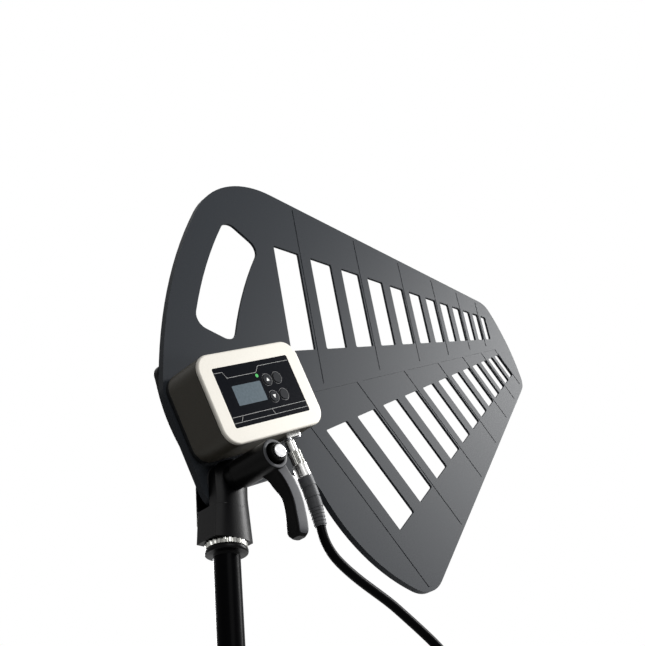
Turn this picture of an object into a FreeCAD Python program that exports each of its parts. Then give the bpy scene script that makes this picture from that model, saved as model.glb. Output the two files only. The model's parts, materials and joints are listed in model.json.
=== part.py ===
import FreeCAD, Part
import math
import os

# Directional UHF antenna: a swept log-periodic board with an amplifier box on its face,
# a tilting swivel bracket with a clamp lever, and a coaxial lead.
# Part frame: origin at the centre of the stand tube's lower end, +Z up, +X the way the antenna aims,
# the printed side of the board towards -Y, millimetres.
# Antenna frame: origin on the tilt axis, X along the board's centre line towards the tip,
# Z square to it, Y the same as the part's, with the front face of the board at Y = 0.

# Aim
TILT_AT_REST = 25.4

# Running fits and seats
SLIDE_FIT = 0.1
SHAFT_FIT = 0.06
SWING_GAP = 0.5
TURN_GAP = 0.2

# Antenna board
APEX_X = 420.0
CENTRE_Z = 44.1
WEB = 2.0
BOARD_DEPTH = 4.8
RIM = 2.5
TAPER_SLOPE = 0.545
TAPER_MARGIN = 4.4
TIP_FROM_APEX = 56.8
TIP_RADIUS = 150.0
TIP_CORNER = 15.0
UPPER_CORNER = 69.0
REAR_RADIUS = 358.0
REAR_KNEE_Z = 62.62
REAR_CENTRE_Z = -85.9
REAR_KNEE = 12.0
TONGUE_RADIUS = 16.7
HEEL_RADIUS = 5.0
LOWER_EDGE_Z = -5.5
THROAT_RADIUS = 22.0
BELLY_RADIUS = 126.5
BELLY_CENTRE_X = 202.3
BELLY_CENTRE_Z = -4.4
LOWER_CORNER = 25.0

# Dipole slots and the raised dipole strips between them
SLOT_COUNT = 12
FIRST_SLOT = 325.0
SLOT_RATIO = 0.886
SLOT_FRONT_SHARE = 0.9237
SLOT_SWEEP = 0.3547
SLOT_INNER_SHARE = 0.0935
SLOT_OUTER_SHARE = 0.381
SLOT_CORNER = 1.0
STRIP_HEIGHT = 0.25
STRIP_FRONT_SHARE = 1.0107
STRIP_REAR_SHARE = 1.035
STRIP_EDGE = 0.7
BOOM_HALF = 2.2

# Handle opening
GRIP_WIDTH = 21.0
GRIP_OPENING = 32.5
GRIP_FROM = 34.3
GRIP_TO = 51.1
GRIP_CORNER = 9.0

# Tilt plate behind the board
PLATE_DEPTH = 5.0
PLATE_ROUND = 1.0
PLATE_REAR_X = -13.5
PLATE_FRONT_X = 45.0
PLATE_LOW_Z = 11.1
PLATE_HIGH_Z = 82.1
PLATE_CORNER = 7.0
PAD_MARGIN = 2.0
PLATE_SCREW_X = (0.0, 36.0)
PLATE_SCREW_Z = (24.0, 61.0)
PLATE_SCREW_SIZE = 4.0
PLATE_SCREW_HEAD = 7.5
PLATE_SCREW_HEAD_DEPTH = 2.6
PLATE_SCREW_GRIP = 6.0
SCREW_SHOULDER_SHARE = 0.55
SCREW_CROWN_SHARE = 0.36

# Amplifier box
BOX_X = 27.75
BOX_KNUCKLE_GAP = 1.6
BOX_WIDTH = 86.5
BOX_HEIGHT = 57.2
BOX_CORNER = 11.0
BOX_PROUD = 33.0
GASKET_DEPTH = 3.0
GASKET_INSET = 0.8
BEZEL_DEPTH = 2.1
BEZEL_ROUND = 1.2
SEAL_DEPTH = 0.5
SEAL_INSET = 0.5
SEAL_WIDTH = 1.7
WALL = 2.4
SHELL_FOOT_ROUND = 0.8
CORNER_POST = 8.0
CORNER_POST_INSET = 8.0
BEZEL_BOSS_LENGTH = 4.8
BEZEL_SCREW_SIZE = 3.0
BEZEL_SCREW_HEAD = 5.5
BEZEL_SCREW_HEAD_DEPTH = 1.8
STANDOFF = 9.0

# Control panel
PANEL_WIDTH = 65.6
PANEL_HEIGHT = 38.1
PANEL_DEPTH = 1.2
PANEL_SINK = 0.1
PANEL_CORNER = 1.2
LEDGE = 2.8
WINDOW_X = -10.6
WINDOW_Z = -0.08
WINDOW_WIDTH = 24.6
WINDOW_HEIGHT = 12.85
WINDOW_CORNER = 0.8
MODULE_WIDTH = 27.0
MODULE_HEIGHT = 16.0
LED_X = 1.0
LED_Z = 9.7
LED_SIZE = 2.4
BUTTON_PLACES = {
    "button_upper_left": (8.0, 5.9),
    "button_upper_right": (16.8, 5.9),
    "button_lower_left": (7.9, -5.3),
    "button_lower_right": (16.8, -5.3),
}
BUTTON_SIZE = 7.2
BUTTON_PROUD = 0.5
BUTTON_BEVEL = 0.3
BUTTON_FLANGE = 8.2
BUTTON_FLANGE_DEPTH = 0.9
BUTTON_TRAVEL = 0.5

# Circuit board
CIRCUIT_DEPTH = 1.6
CIRCUIT_FRONT_DEPTH = 26.2
SWITCH_SIDE = 6.0
SWITCH_DEPTH = 3.3
PLUNGER_SIZE = 3.4
CIRCUIT_SCREW_SIZE = 2.5
CIRCUIT_SCREW_HEAD = 4.6
CIRCUIT_SCREW_HEAD_DEPTH = 1.5
CIRCUIT_SCREW_LENGTH = 7.0
FEED_PIN_SIZE = 1.2
FEED_PIN_X = 58.0

# Coaxial connectors, measured along their axis from the jack's flange
JACK_X = 48.0
JACK_DEPTH = 18.0
JACK_FLANGE = 12.7
JACK_FLANGE_DEPTH = 2.0
JACK_FLANGE_CORNER = 1.2
JACK_BARREL = 6.3
JACK_BARREL_LENGTH = 13.0
JACK_BACK_LENGTH = 7.0
JACK_BORE = 4.3
JACK_SCREW_PITCH = 8.6
JACK_SCREW_SIZE = 2.0
JACK_SCREW_HEAD = 3.6
JACK_SCREW_HEAD_DEPTH = 1.2
JACK_SCREW_LENGTH = 4.0
CONTACT_SIZE = 1.9
CONTACT_TAIL = 3.0
CONTACT_SOCKET = 5.0
PIN_SIZE = 0.92
PIN_BOTTOM_GAP = 1.0
PLUG_NOSE_LENGTH = 4.0
PLUG_NECK_STEP = 0.8
NUT_START = 8.0
NUT_LENGTH = 8.5
NUT_SIZE = 8.0
NUT_SHOULDER = 1.8
NUT_TEETH = 24
NUT_TOOTH = 0.25
SLEEVE_START = 17.0
SLEEVE_LENGTH = 6.5
SLEEVE_SIZE = 9.4
RING_LENGTH = 1.5
RING_SIZE = 9.8
RING_ROUND = 0.3
TAIL_SIZE = 6.8
TAIL_LENGTH = 7.0
BOOT_LENGTH = 32.0
BOOT_SIZE = 10.0
BOOT_END_SIZE = 8.0
BOOT_BEND = 15.0
BOOT_BANDS = 3
BOOT_RIBS = 5
BOOT_GROOVE = 0.45
BOOT_GROOVE_WIDTH = 0.5
BOOT_BAND_SHARE = 0.66
BOOT_RIB_SHARE = 0.6
BOOT_RIB_SLOPE = 0.2

# Coaxial lead
LEAD_SIZE = 6.15
COIL_RADIUS = 35.5
COIL_LAYERS = 3
COIL_ROWS = 4
COIL_CENTRE = (215.05, -42.0, -45.0)
COIL_RIM_FLAT = 0.2
BEND_REACH_SHARE = 0.45
TIE_WIDTH = 10.0
TIE_DEPTH = 1.2
LEAD_ROUTE = [
    (60.0, -18.0, 82.3),
    (62.9, -18.0, 76.2),
    (67.8, -18.0, 70.3),
    (76.0, -18.0, 64.6),
    (87.4, -18.0, 58.6),
    (99.0, -18.2, 53.4),
    (111.2, -18.6, 47.8),
    (122.4, -19.2, 40.8),
    (133.4, -20.0, 33.6),
    (144.8, -21.2, 25.2),
    (155.4, -23.2, 14.0),
    (164.0, -26.4, -0.5),
    (170.6, -30.0, -15.5),
    (173.4, -32.77, -31.0),
]

# Swivel bracket
HOUSING_FRONT = 11.0
HOUSING_REAR = 10.0
HOUSING_DROP = 35.8
HOUSING_FOOT_HALF = 13.0
HOUSING_WAIST_HALF = 11.5
HOUSING_WAIST_DROP = 11.0
KNUCKLE_RADIUS = 12.0
HOUSING_ROUND = 1.8
FRICTION_WASHER = 1.3
BOLT_SIZE = 6.0
BOLT_HEAD = 10.0
BOLT_HEAD_DEPTH = 4.0
BOLT_HEAD_SINK = 3.0
BOLT_END_GAP = 1.0
THRUST_WASHER = 6.0
THRUST_RADIUS = 7.8

# Clamp lever
HUB_RADIUS = 9.0
HUB_LENGTH = 32.0
HUB_ROUND = 2.0
HUB_RECESS_RADIUS = 6.6
HUB_RECESS = 3.5
HUB_WEB = 4.0
SLEEVE_RADIUS = 5.2
SLEEVE_PROUD = 3.0
SLEEVE_ROOT = 1.0
CAP_RADIUS = 4.0
CAP_PROUD = 2.0
CAP_ROUND = 0.8
INSERT_RADIUS = 5.0
INSERT_LENGTH = 18.0
LEVER_SECTIONS = [
    (1.0, -3.0, 14.0, 30.0, 46.0),
    (5.2, -9.4, 11.4, 34.6, 46.6),
    (10.2, -15.8, 8.8, 35.0, 47.6),
    (14.4, -23.2, 7.5, 35.2, 48.0),
    (17.6, -31.2, 7.3, 36.0, 48.0),
    (18.9, -38.6, 8.0, 36.0, 48.0),
    (18.5, -44.2, 7.8, 36.4, 47.7),
    (18.1, -46.9, 4.6, 38.2, 45.8),
]
LEVER_ROUND = 2.2
LEVER_WIDTH_PER_ROUND = 2.2

# Lock ring, collar and stand
TUBE_LENGTH = 64.0
COLLAR_DEPTH = 5.6
LOCK_RING_GAP = 0.4
LOCK_RING_DEPTH = 4.0
LOCK_RING_RADIUS = 12.3
LOCK_RING_TEETH = 60
LOCK_RING_TOOTH = 0.35
STUD_RADIUS = 4.76
STUD_SINK = 12.0
SOCKET_END_GAP = 1.0
COLLAR_TOP_RADIUS = 12.8
COLLAR_FOOT_RADIUS = 9.0
COLLAR_BAND = 1.2
COLLAR_BEVEL = 0.6
TUBE_RADIUS = 8.0
TUBE_BORE_RADIUS = 6.5
STUD_PLUG_LENGTH = 22.0

# Places worked out from the sizes above
COLLAR_TOP_Z = TUBE_LENGTH + COLLAR_DEPTH
RING_FOOT_Z = COLLAR_TOP_Z + TURN_GAP
RING_TOP_Z = RING_FOOT_Z + LOCK_RING_DEPTH
HOUSING_FOOT_Z = RING_TOP_Z + LOCK_RING_GAP
AXIS_HEIGHT = HOUSING_FOOT_Z + HOUSING_DROP
TIP_REACH = APEX_X - TIP_FROM_APEX
REAR_CENTRE_X = math.sqrt(REAR_RADIUS ** 2 - (REAR_KNEE_Z - REAR_CENTRE_Z) ** 2) - TONGUE_RADIUS
BOX_BACK = -GASKET_DEPTH
BOX_FRONT = -BOX_PROUD
BEZEL_BACK = BOX_FRONT + BEZEL_DEPTH
SHELL_FRONT = BEZEL_BACK + SEAL_DEPTH
SHELL_FLOOR = BOX_BACK - WALL
PANEL_FRONT = BOX_FRONT + PANEL_SINK
PANEL_BACK = PANEL_FRONT + PANEL_DEPTH
CIRCUIT_FRONT = -CIRCUIT_FRONT_DEPTH
CIRCUIT_BACK = CIRCUIT_FRONT + CIRCUIT_DEPTH
BOX_LOW_Z = KNUCKLE_RADIUS + BOX_KNUCKLE_GAP
BOX_Z = BOX_LOW_Z + BOX_HEIGHT / 2
PLATE_BACK = BOARD_DEPTH + PLATE_DEPTH
BOLT_HEAD_SEAT = PLATE_BACK - BOLT_HEAD_SINK
HUB_BACK = -HOUSING_FRONT - THRUST_WASHER - SLIDE_FIT
HUB_FRONT = HUB_BACK - HUB_LENGTH
RECESS_FLOOR = HUB_FRONT + HUB_RECESS
RING_START = SLEEVE_START + SLEEVE_LENGTH
BOOT_START = RING_START + RING_LENGTH
COIL_HALF_WIDTH = COIL_LAYERS * LEAD_SIZE / 2
COIL_HALF_DEPTH = COIL_ROWS * LEAD_SIZE / 2
STUD_TOP_Z = HOUSING_FOOT_Z + STUD_SINK

parts = {}


def vec(x, y, z):
    return FreeCAD.Vector(x, y, z)


def unit(x, z):
    size = math.hypot(x, z)
    return (x / size, z / size)


def aim_placement():
    aim = FreeCAD.Rotation(vec(0, 1, 0), -TILT_AT_REST)
    return FreeCAD.Placement(vec(0, 0, AXIS_HEIGHT), aim)


def place_antenna(shape):
    """Move a shape from the antenna frame to the part frame."""
    placed = shape.copy()
    placed.Placement = aim_placement().multiply(shape.Placement)
    return placed


def prism(wire, depth_from, depth_to):
    """Closed flat outline drawn at Y = 0, drawn out between two depths."""
    face = Part.Face(wire)
    face.translate(vec(0, depth_from, 0))
    return face.extrude(vec(0, depth_to - depth_from, 0))


def rounded_loop(points, radius):
    """Closed outline in the XZ plane with one radius on every corner."""
    edges = []
    starts = []
    ends = []
    arcs = []
    count = len(points)
    for index in range(count):
        before = points[index - 1]
        here = points[index]
        after = points[(index + 1) % count]
        back = unit(before[0] - here[0], before[1] - here[1])
        ahead = unit(after[0] - here[0], after[1] - here[1])
        half = math.acos(back[0] * ahead[0] + back[1] * ahead[1]) / 2
        reach = radius / math.tan(half)
        middle = unit(back[0] + ahead[0], back[1] + ahead[1])
        deep = radius / math.sin(half) - radius
        start = vec(here[0] + back[0] * reach, 0, here[1] + back[1] * reach)
        end = vec(here[0] + ahead[0] * reach, 0, here[1] + ahead[1] * reach)
        crown = vec(here[0] + middle[0] * deep, 0, here[1] + middle[1] * deep)
        starts.append(start)
        ends.append(end)
        arcs.append(Part.Arc(start, crown, end).toShape())
    for index in range(count):
        edges.append(arcs[index])
        following = starts[(index + 1) % count]
        if ends[index].distanceToPoint(following) > 1e-6:
            edges.append(Part.LineSegment(ends[index], following).toShape())
    return Part.Wire(edges)


def rounded_rectangle(centre_x, centre_z, width, height, radius):
    half_x = width / 2
    half_z = height / 2
    points = [
        (centre_x - half_x, centre_z - half_z),
        (centre_x + half_x, centre_z - half_z),
        (centre_x + half_x, centre_z + half_z),
        (centre_x - half_x, centre_z + half_z),
    ]
    return rounded_loop(points, radius)


def rod(radius, depth_from, depth_to, x=0.0, z=0.0):
    """Cylinder along Y."""
    low = min(depth_from, depth_to)
    return Part.makeCylinder(radius, abs(depth_to - depth_from), vec(x, low, z), vec(0, 1, 0))


def turned_y(profile, x=0.0, z=0.0):
    """Solid turned about an axis along Y from (radius, depth) points."""
    points = [vec(x + radius, depth, z) for radius, depth in profile]
    wire = Part.makePolygon(points + [points[0]])
    return Part.Face(wire).revolve(vec(x, 0, z), vec(0, 1, 0), 360)


def turned_z(profile):
    """Solid turned about the Z axis from (radius, height) points."""
    points = [vec(radius, 0, height) for radius, height in profile]
    wire = Part.makePolygon(points + [points[0]])
    return Part.Face(wire).revolve(vec(0, 0, 0), vec(0, 0, 1), 360)


def toothed_ring(radius, tooth, teeth, bore, height_from, height_to):
    """Ring about the Z axis with a straight knurl."""
    points = []
    for index in range(teeth * 2):
        reach = radius - tooth * (index % 2)
        turn = math.pi * index / teeth
        points.append(vec(reach * math.cos(turn), reach * math.sin(turn), height_from))
    face = Part.Face(Part.makePolygon(points + [points[0]]))
    body = face.extrude(vec(0, 0, height_to - height_from))
    hole = Part.makeCylinder(bore, height_to - height_from, vec(0, 0, height_from))
    return body.cut(hole)


# Outline of the board


def straight_side(x, z, inward_x, inward_z):
    inward = unit(inward_x, inward_z)
    return {"kind": "line", "x": x, "z": z, "in_x": inward[0], "in_z": inward[1]}


def round_side(x, z, radius):
    return {"kind": "arc", "x": x, "z": z, "radius": radius}


def sunk(side, depth):
    """The same side moved into the material."""
    if side["kind"] == "arc":
        return round_side(side["x"], side["z"], side["radius"] - depth)
    x = side["x"] + side["in_x"] * depth
    z = side["z"] + side["in_z"] * depth
    return straight_side(x, z, side["in_x"], side["in_z"])


def crossings(first, second):
    """Points where two sides cross."""
    if first["kind"] == "line" and second["kind"] == "line":
        det = first["in_x"] * second["in_z"] - first["in_z"] * second["in_x"]
        level_a = first["in_x"] * first["x"] + first["in_z"] * first["z"]
        level_b = second["in_x"] * second["x"] + second["in_z"] * second["z"]
        x = (level_a * second["in_z"] - level_b * first["in_z"]) / det
        z = (first["in_x"] * level_b - second["in_x"] * level_a) / det
        return [(x, z)]
    if first["kind"] == "arc" and second["kind"] == "line":
        return crossings(second, first)
    if first["kind"] == "line":
        gap_x = second["x"] - first["x"]
        gap_z = second["z"] - first["z"]
        depth = gap_x * first["in_x"] + gap_z * first["in_z"]
        base = (second["x"] - first["in_x"] * depth, second["z"] - first["in_z"] * depth)
        along = math.sqrt(second["radius"] ** 2 - depth ** 2)
        step = (-first["in_z"] * along, first["in_x"] * along)
    else:
        gap_x = second["x"] - first["x"]
        gap_z = second["z"] - first["z"]
        gap = math.hypot(gap_x, gap_z)
        share = (first["radius"] ** 2 - second["radius"] ** 2 + gap ** 2) / (2 * gap)
        along = math.sqrt(first["radius"] ** 2 - share ** 2)
        base = (first["x"] + gap_x / gap * share, first["z"] + gap_z / gap * share)
        step = (-gap_z / gap * along, gap_x / gap * along)
    return [(base[0] + step[0], base[1] + step[1]), (base[0] - step[0], base[1] - step[1])]


def foot_on(side, x, z):
    """Point of a side nearest to a given point."""
    if side["kind"] == "line":
        depth = (x - side["x"]) * side["in_x"] + (z - side["z"]) * side["in_z"]
        return (x - side["in_x"] * depth, z - side["in_z"] * depth)
    way = unit(x - side["x"], z - side["z"])
    return (side["x"] + way[0] * side["radius"], side["z"] + way[1] * side["radius"])


def arc_about(x, z, radius, start, end):
    """Edge of a circle between two of its points, the shorter way."""
    first = unit(start[0] - x, start[1] - z)
    last = unit(end[0] - x, end[1] - z)
    middle = unit(first[0] + last[0], first[1] + last[1])
    crown = vec(x + middle[0] * radius, 0, z + middle[1] * radius)
    return Part.Arc(vec(start[0], 0, start[1]), crown, vec(end[0], 0, end[1])).toShape()


def blend_joint(first, second, corner):
    """Where a tangent corner arc leaves one side, where it joins the next, and the arc."""
    radius, hollow, near = corner
    depth = -radius if hollow else radius
    options = crossings(sunk(first, depth), sunk(second, depth))
    options.sort(key=lambda spot: math.hypot(spot[0] - near[0], spot[1] - near[1]))
    centre = options[0]
    leave = foot_on(first, centre[0], centre[1])
    join = foot_on(second, centre[0], centre[1])
    return (leave, join, arc_about(centre[0], centre[1], radius, leave, join))


def blended_outline(sides, corners):
    """Closed outline of sides joined by tangent corner arcs.

    A corner is (radius, hollow, near): its radius, whether it is hollow, and a point near its centre.
    None joins two sides that already touch.
    """
    joints = []
    count = len(sides)
    for index in range(count):
        first = sides[index]
        second = sides[(index + 1) % count]
        if corners[index] is None:
            meeting = foot_on(first, second["x"], second["z"])
            joints.append((meeting, meeting, None))
        else:
            joints.append(blend_joint(first, second, corners[index]))
    edges = []
    for index in range(count):
        side = sides[index]
        start = joints[index - 1][1]
        end = joints[index][0]
        if side["kind"] == "line":
            edges.append(Part.LineSegment(vec(start[0], 0, start[1]), vec(end[0], 0, end[1])).toShape())
        else:
            edges.append(arc_about(side["x"], side["z"], side["radius"], start, end))
        if joints[index][2] is not None:
            edges.append(joints[index][2])
    return Part.Wire(edges)


def board_outline(inset=0.0):
    """Outer edge of the board, or a line inside it at an even distance."""
    tip_x = TIP_REACH - TIP_RADIUS
    taper_x = APEX_X + TAPER_MARGIN / TAPER_SLOPE
    tip_side = (TIP_REACH, CENTRE_Z)
    sides = [
        round_side(tip_x, CENTRE_Z, TIP_RADIUS),
        straight_side(taper_x, CENTRE_Z, -TAPER_SLOPE, -1),
        round_side(REAR_CENTRE_X, REAR_CENTRE_Z, REAR_RADIUS),
        straight_side(-TONGUE_RADIUS, 0, 1, 0),
        round_side(0, 0, TONGUE_RADIUS),
        straight_side(0, LOWER_EDGE_Z, 0, 1),
        round_side(BELLY_CENTRE_X, BELLY_CENTRE_Z, BELLY_RADIUS),
        straight_side(taper_x, CENTRE_Z, -TAPER_SLOPE, 1),
    ]
    belly_rear = (BELLY_CENTRE_X - BELLY_RADIUS, LOWER_EDGE_Z - THROAT_RADIUS)
    belly_foot = (BELLY_CENTRE_X - BELLY_RADIUS / 2, BELLY_CENTRE_Z - BELLY_RADIUS)
    upper = (REAR_CENTRE_X - REAR_RADIUS / 2, CENTRE_Z + TAPER_SLOPE * FIRST_SLOT)
    knee = (0, CENTRE_Z)
    corners = [
        (TIP_CORNER - inset, False, (tip_side[0], tip_side[1] + TIP_CORNER)),
        (UPPER_CORNER - inset, False, upper),
        (REAR_KNEE - inset, False, knee),
        None,
        (HEEL_RADIUS + inset, True, (TONGUE_RADIUS, LOWER_EDGE_Z)),
        (THROAT_RADIUS + inset, True, belly_rear),
        (LOWER_CORNER - inset, False, belly_foot),
        (TIP_CORNER - inset, False, (tip_side[0], tip_side[1] - TIP_CORNER)),
    ]
    return blended_outline([sunk(side, inset) for side in sides], corners)


def swept_point(base, share, half):
    """Point of a swept dipole side, by its share of the way out from the centre line."""
    back = base / (1 + SLOT_SWEEP * share)
    return (APEX_X - back, CENTRE_Z + half * share * back)


def slot(index, half):
    rear = FIRST_SLOT * SLOT_RATIO ** index
    front = rear * SLOT_FRONT_SHARE
    points = [
        swept_point(rear, SLOT_INNER_SHARE, half),
        swept_point(rear, SLOT_OUTER_SHARE, half),
        swept_point(front, SLOT_OUTER_SHARE, half),
        swept_point(front, SLOT_INNER_SHARE, half),
    ]
    return prism(rounded_loop(points, SLOT_CORNER), -STRIP_HEIGHT, BOARD_DEPTH)


def strip(index, half, depth_from, depth_to):
    """Raised dipole strip just behind one slot, from the boom past the tapered edge."""
    base = FIRST_SLOT * SLOT_RATIO ** index
    reach = TAPER_SLOPE * base + TAPER_MARGIN
    points = []
    for share, out in [
        (STRIP_FRONT_SHARE, 0.0),
        (STRIP_FRONT_SHARE, reach),
        (STRIP_REAR_SHARE, reach),
        (STRIP_REAR_SHARE, 0.0),
    ]:
        points.append(vec(APEX_X - base * share + SLOT_SWEEP * out, 0, CENTRE_Z + half * out))
    return prism(Part.makePolygon(points + [points[0]]), depth_from, depth_to)


def strips(first_half, depth_from, depth_to):
    """Strips of one face, by turns above and below the boom, cut back along the edge."""
    pieces = []
    for index in range(SLOT_COUNT + 1):
        half = first_half if index % 2 == 0 else -first_half
        pieces.append(strip(index, half, depth_from, depth_to))
    boom_rear = APEX_X - FIRST_SLOT * STRIP_REAR_SHARE
    boom_front = APEX_X - FIRST_SLOT * SLOT_RATIO ** SLOT_COUNT
    boom_length = boom_front - boom_rear
    corner = vec(boom_rear, depth_from, CENTRE_Z - BOOM_HALF)
    boom = Part.makeBox(boom_length, depth_to - depth_from, 2 * BOOM_HALF, corner)
    field = prism(board_outline(RIM + STRIP_EDGE), depth_from, depth_to)
    return boom.fuse(pieces).common(field)


def handle_opening(depth_from, depth_to):
    """Curved opening that leaves a grip of even width along the rear edge."""
    outer = REAR_RADIUS - GRIP_WIDTH
    inner = outer - GRIP_OPENING
    corners = []
    for radius, turn in [(inner, GRIP_FROM), (outer, GRIP_FROM), (outer, GRIP_TO), (inner, GRIP_TO)]:
        way = math.radians(turn)
        x = REAR_CENTRE_X - radius * math.cos(way)
        z = REAR_CENTRE_Z + radius * math.sin(way)
        corners.append((x, z))
    edges = [
        Part.LineSegment(vec(corners[0][0], 0, corners[0][1]), vec(corners[1][0], 0, corners[1][1])).toShape(),
        arc_about(REAR_CENTRE_X, REAR_CENTRE_Z, outer, corners[1], corners[2]),
        Part.LineSegment(vec(corners[2][0], 0, corners[2][1]), vec(corners[3][0], 0, corners[3][1])).toShape(),
        arc_about(REAR_CENTRE_X, REAR_CENTRE_Z, inner, corners[3], corners[0]),
    ]
    blank = prism(Part.Wire(edges), depth_from, depth_to)
    upright = [edge for edge in blank.Edges if edge.BoundBox.YLength > (depth_to - depth_from) / 2]
    return blank.makeFillet(GRIP_CORNER, upright)


def plate_outline(grow=0.0):
    """Upright plate with an ear round the tilt axis."""
    rear = PLATE_REAR_X - grow
    front = PLATE_FRONT_X + grow
    low = PLATE_LOW_Z - grow
    high = PLATE_HIGH_Z + grow
    ear = -rear
    sides = [
        straight_side(rear, 0, 1, 0),
        round_side(0, 0, ear),
        straight_side(ear, 0, -1, 0),
        straight_side(0, low, 0, 1),
        straight_side(front, 0, -1, 0),
        straight_side(0, high, 0, -1),
    ]
    round_corner = PLATE_CORNER + grow
    corners = [
        None,
        None,
        (PLATE_CORNER, True, (ear, low)),
        (round_corner, False, (front, low)),
        (round_corner, False, (front, high)),
        (round_corner, False, (rear, high)),
    ]
    return ear_outline(sides, corners)


def ear_outline(sides, corners):
    """Outline whose second side is a half circle between two upright sides."""
    ear = sides[1]["radius"]
    left = (-ear, 0.0)
    right = (ear, 0.0)
    low_joint = blend_joint(sides[2], sides[3], corners[2])
    front_joint = blend_joint(sides[3], sides[4], corners[3])
    high_joint = blend_joint(sides[4], sides[5], corners[4])
    rear_joint = blend_joint(sides[5], sides[0], corners[5])
    bottom = Part.Arc(vec(left[0], 0, 0), vec(0, 0, -ear), vec(right[0], 0, 0)).toShape()
    edges = [bottom]
    last = right
    for joint in [low_joint, front_joint, high_joint, rear_joint]:
        edges.append(Part.LineSegment(vec(last[0], 0, last[1]), vec(joint[0][0], 0, joint[0][1])).toShape())
        edges.append(joint[2])
        last = joint[1]
    edges.append(Part.LineSegment(vec(last[0], 0, last[1]), vec(left[0], 0, left[1])).toShape())
    return Part.Wire(edges)


def plate_screw_places():
    return [(x, z) for x in PLATE_SCREW_X for z in PLATE_SCREW_Z]


def plate_screw_holes(depth_from, depth_to):
    radius = PLATE_SCREW_SIZE / 2 + SLIDE_FIT
    return [rod(radius, depth_from, depth_to, x, z) for x, z in plate_screw_places()]


def make_board():
    blank = prism(board_outline(), 0, BOARD_DEPTH)
    recess = prism(board_outline(RIM), WEB, BOARD_DEPTH)
    recess = recess.cut(prism(plate_outline(PAD_MARGIN), WEB, BOARD_DEPTH))
    board = blank.cut(recess)
    board = board.fuse([strips(-1, -STRIP_HEIGHT, STRIP_HEIGHT), strips(1, WEB - STRIP_HEIGHT, WEB + STRIP_HEIGHT)])
    openings = [handle_opening(-STRIP_HEIGHT, BOARD_DEPTH)]
    for index in range(SLOT_COUNT):
        openings.append(slot(index, 1))
        openings.append(slot(index, -1))
    openings.append(rod(BOLT_SIZE / 2 + SLIDE_FIT, -STRIP_HEIGHT, BOARD_DEPTH))
    openings.append(rod(FEED_PIN_SIZE / 2 + SHAFT_FIT, -STRIP_HEIGHT, BOARD_DEPTH, FEED_PIN_X, CENTRE_Z))
    openings.extend(plate_screw_holes(-STRIP_HEIGHT, BOARD_DEPTH))
    return board.cut(openings)


def make_tilt_plate():
    plate = prism(plate_outline(), BOARD_DEPTH, PLATE_BACK)
    rim = [edge for edge in plate.Edges if edge.BoundBox.YMin > PLATE_BACK - 1e-3]
    plate = plate.makeFillet(PLATE_ROUND, rim)
    cuts = plate_screw_holes(BOARD_DEPTH, PLATE_BACK)
    cuts.append(rod(BOLT_SIZE / 2 + SLIDE_FIT, BOARD_DEPTH, PLATE_BACK))
    cuts.append(hexagon(BOLT_HEAD + 2 * SLIDE_FIT, BOLT_HEAD_SEAT, PLATE_BACK))
    return plate.cut(cuts)


def hexagon(across, depth_from, depth_to):
    """Six-sided prism on the tilt axis, by its width across flats."""
    reach = across / 2 / math.cos(math.pi / 6)
    points = []
    for index in range(6):
        turn = math.pi * index / 3
        points.append(vec(reach * math.cos(turn), 0, reach * math.sin(turn)))
    return prism(Part.makePolygon(points + [points[0]]), depth_from, depth_to)


def screw(x, z, seat, tip, size, head, head_depth, way):
    """Screw along Y with a domed head; way is +1 for a head on the +Y side of its seat."""
    crown = seat + way * head_depth
    shoulder = seat + way * head_depth * SCREW_SHOULDER_SHARE
    profile = [
        (0, tip),
        (size / 2, tip),
        (size / 2, seat),
        (head / 2, seat),
        (head / 2, shoulder),
        (head * SCREW_CROWN_SHARE, crown),
        (0, crown),
    ]
    return turned_y(profile, x, z)


# Amplifier box


def box_outline(inset=0.0):
    width = BOX_WIDTH - 2 * inset
    height = BOX_HEIGHT - 2 * inset
    return rounded_rectangle(BOX_X, BOX_Z, width, height, BOX_CORNER - inset)


def corner_places():
    reach_x = BOX_WIDTH / 2 - CORNER_POST_INSET
    reach_z = BOX_HEIGHT / 2 - CORNER_POST_INSET
    return [(BOX_X + a * reach_x, BOX_Z + b * reach_z) for a in (-1, 1) for b in (-1, 1)]


def boss_end():
    """Depth where the bezel's bosses meet the shell's corner posts."""
    return BEZEL_BACK + BEZEL_BOSS_LENGTH


def make_gasket():
    gasket = prism(box_outline(GASKET_INSET), BOX_BACK, 0)
    cuts = plate_screw_holes(BOX_BACK, 0)
    cuts.append(rod(FEED_PIN_SIZE / 2 + SHAFT_FIT, BOX_BACK, 0, FEED_PIN_X, CENTRE_Z))
    field = prism(board_outline(RIM + STRIP_EDGE), -STRIP_HEIGHT, 0)
    cuts.append(strips(-1, -STRIP_HEIGHT, 0).common(field))
    return gasket.cut(cuts)


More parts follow.
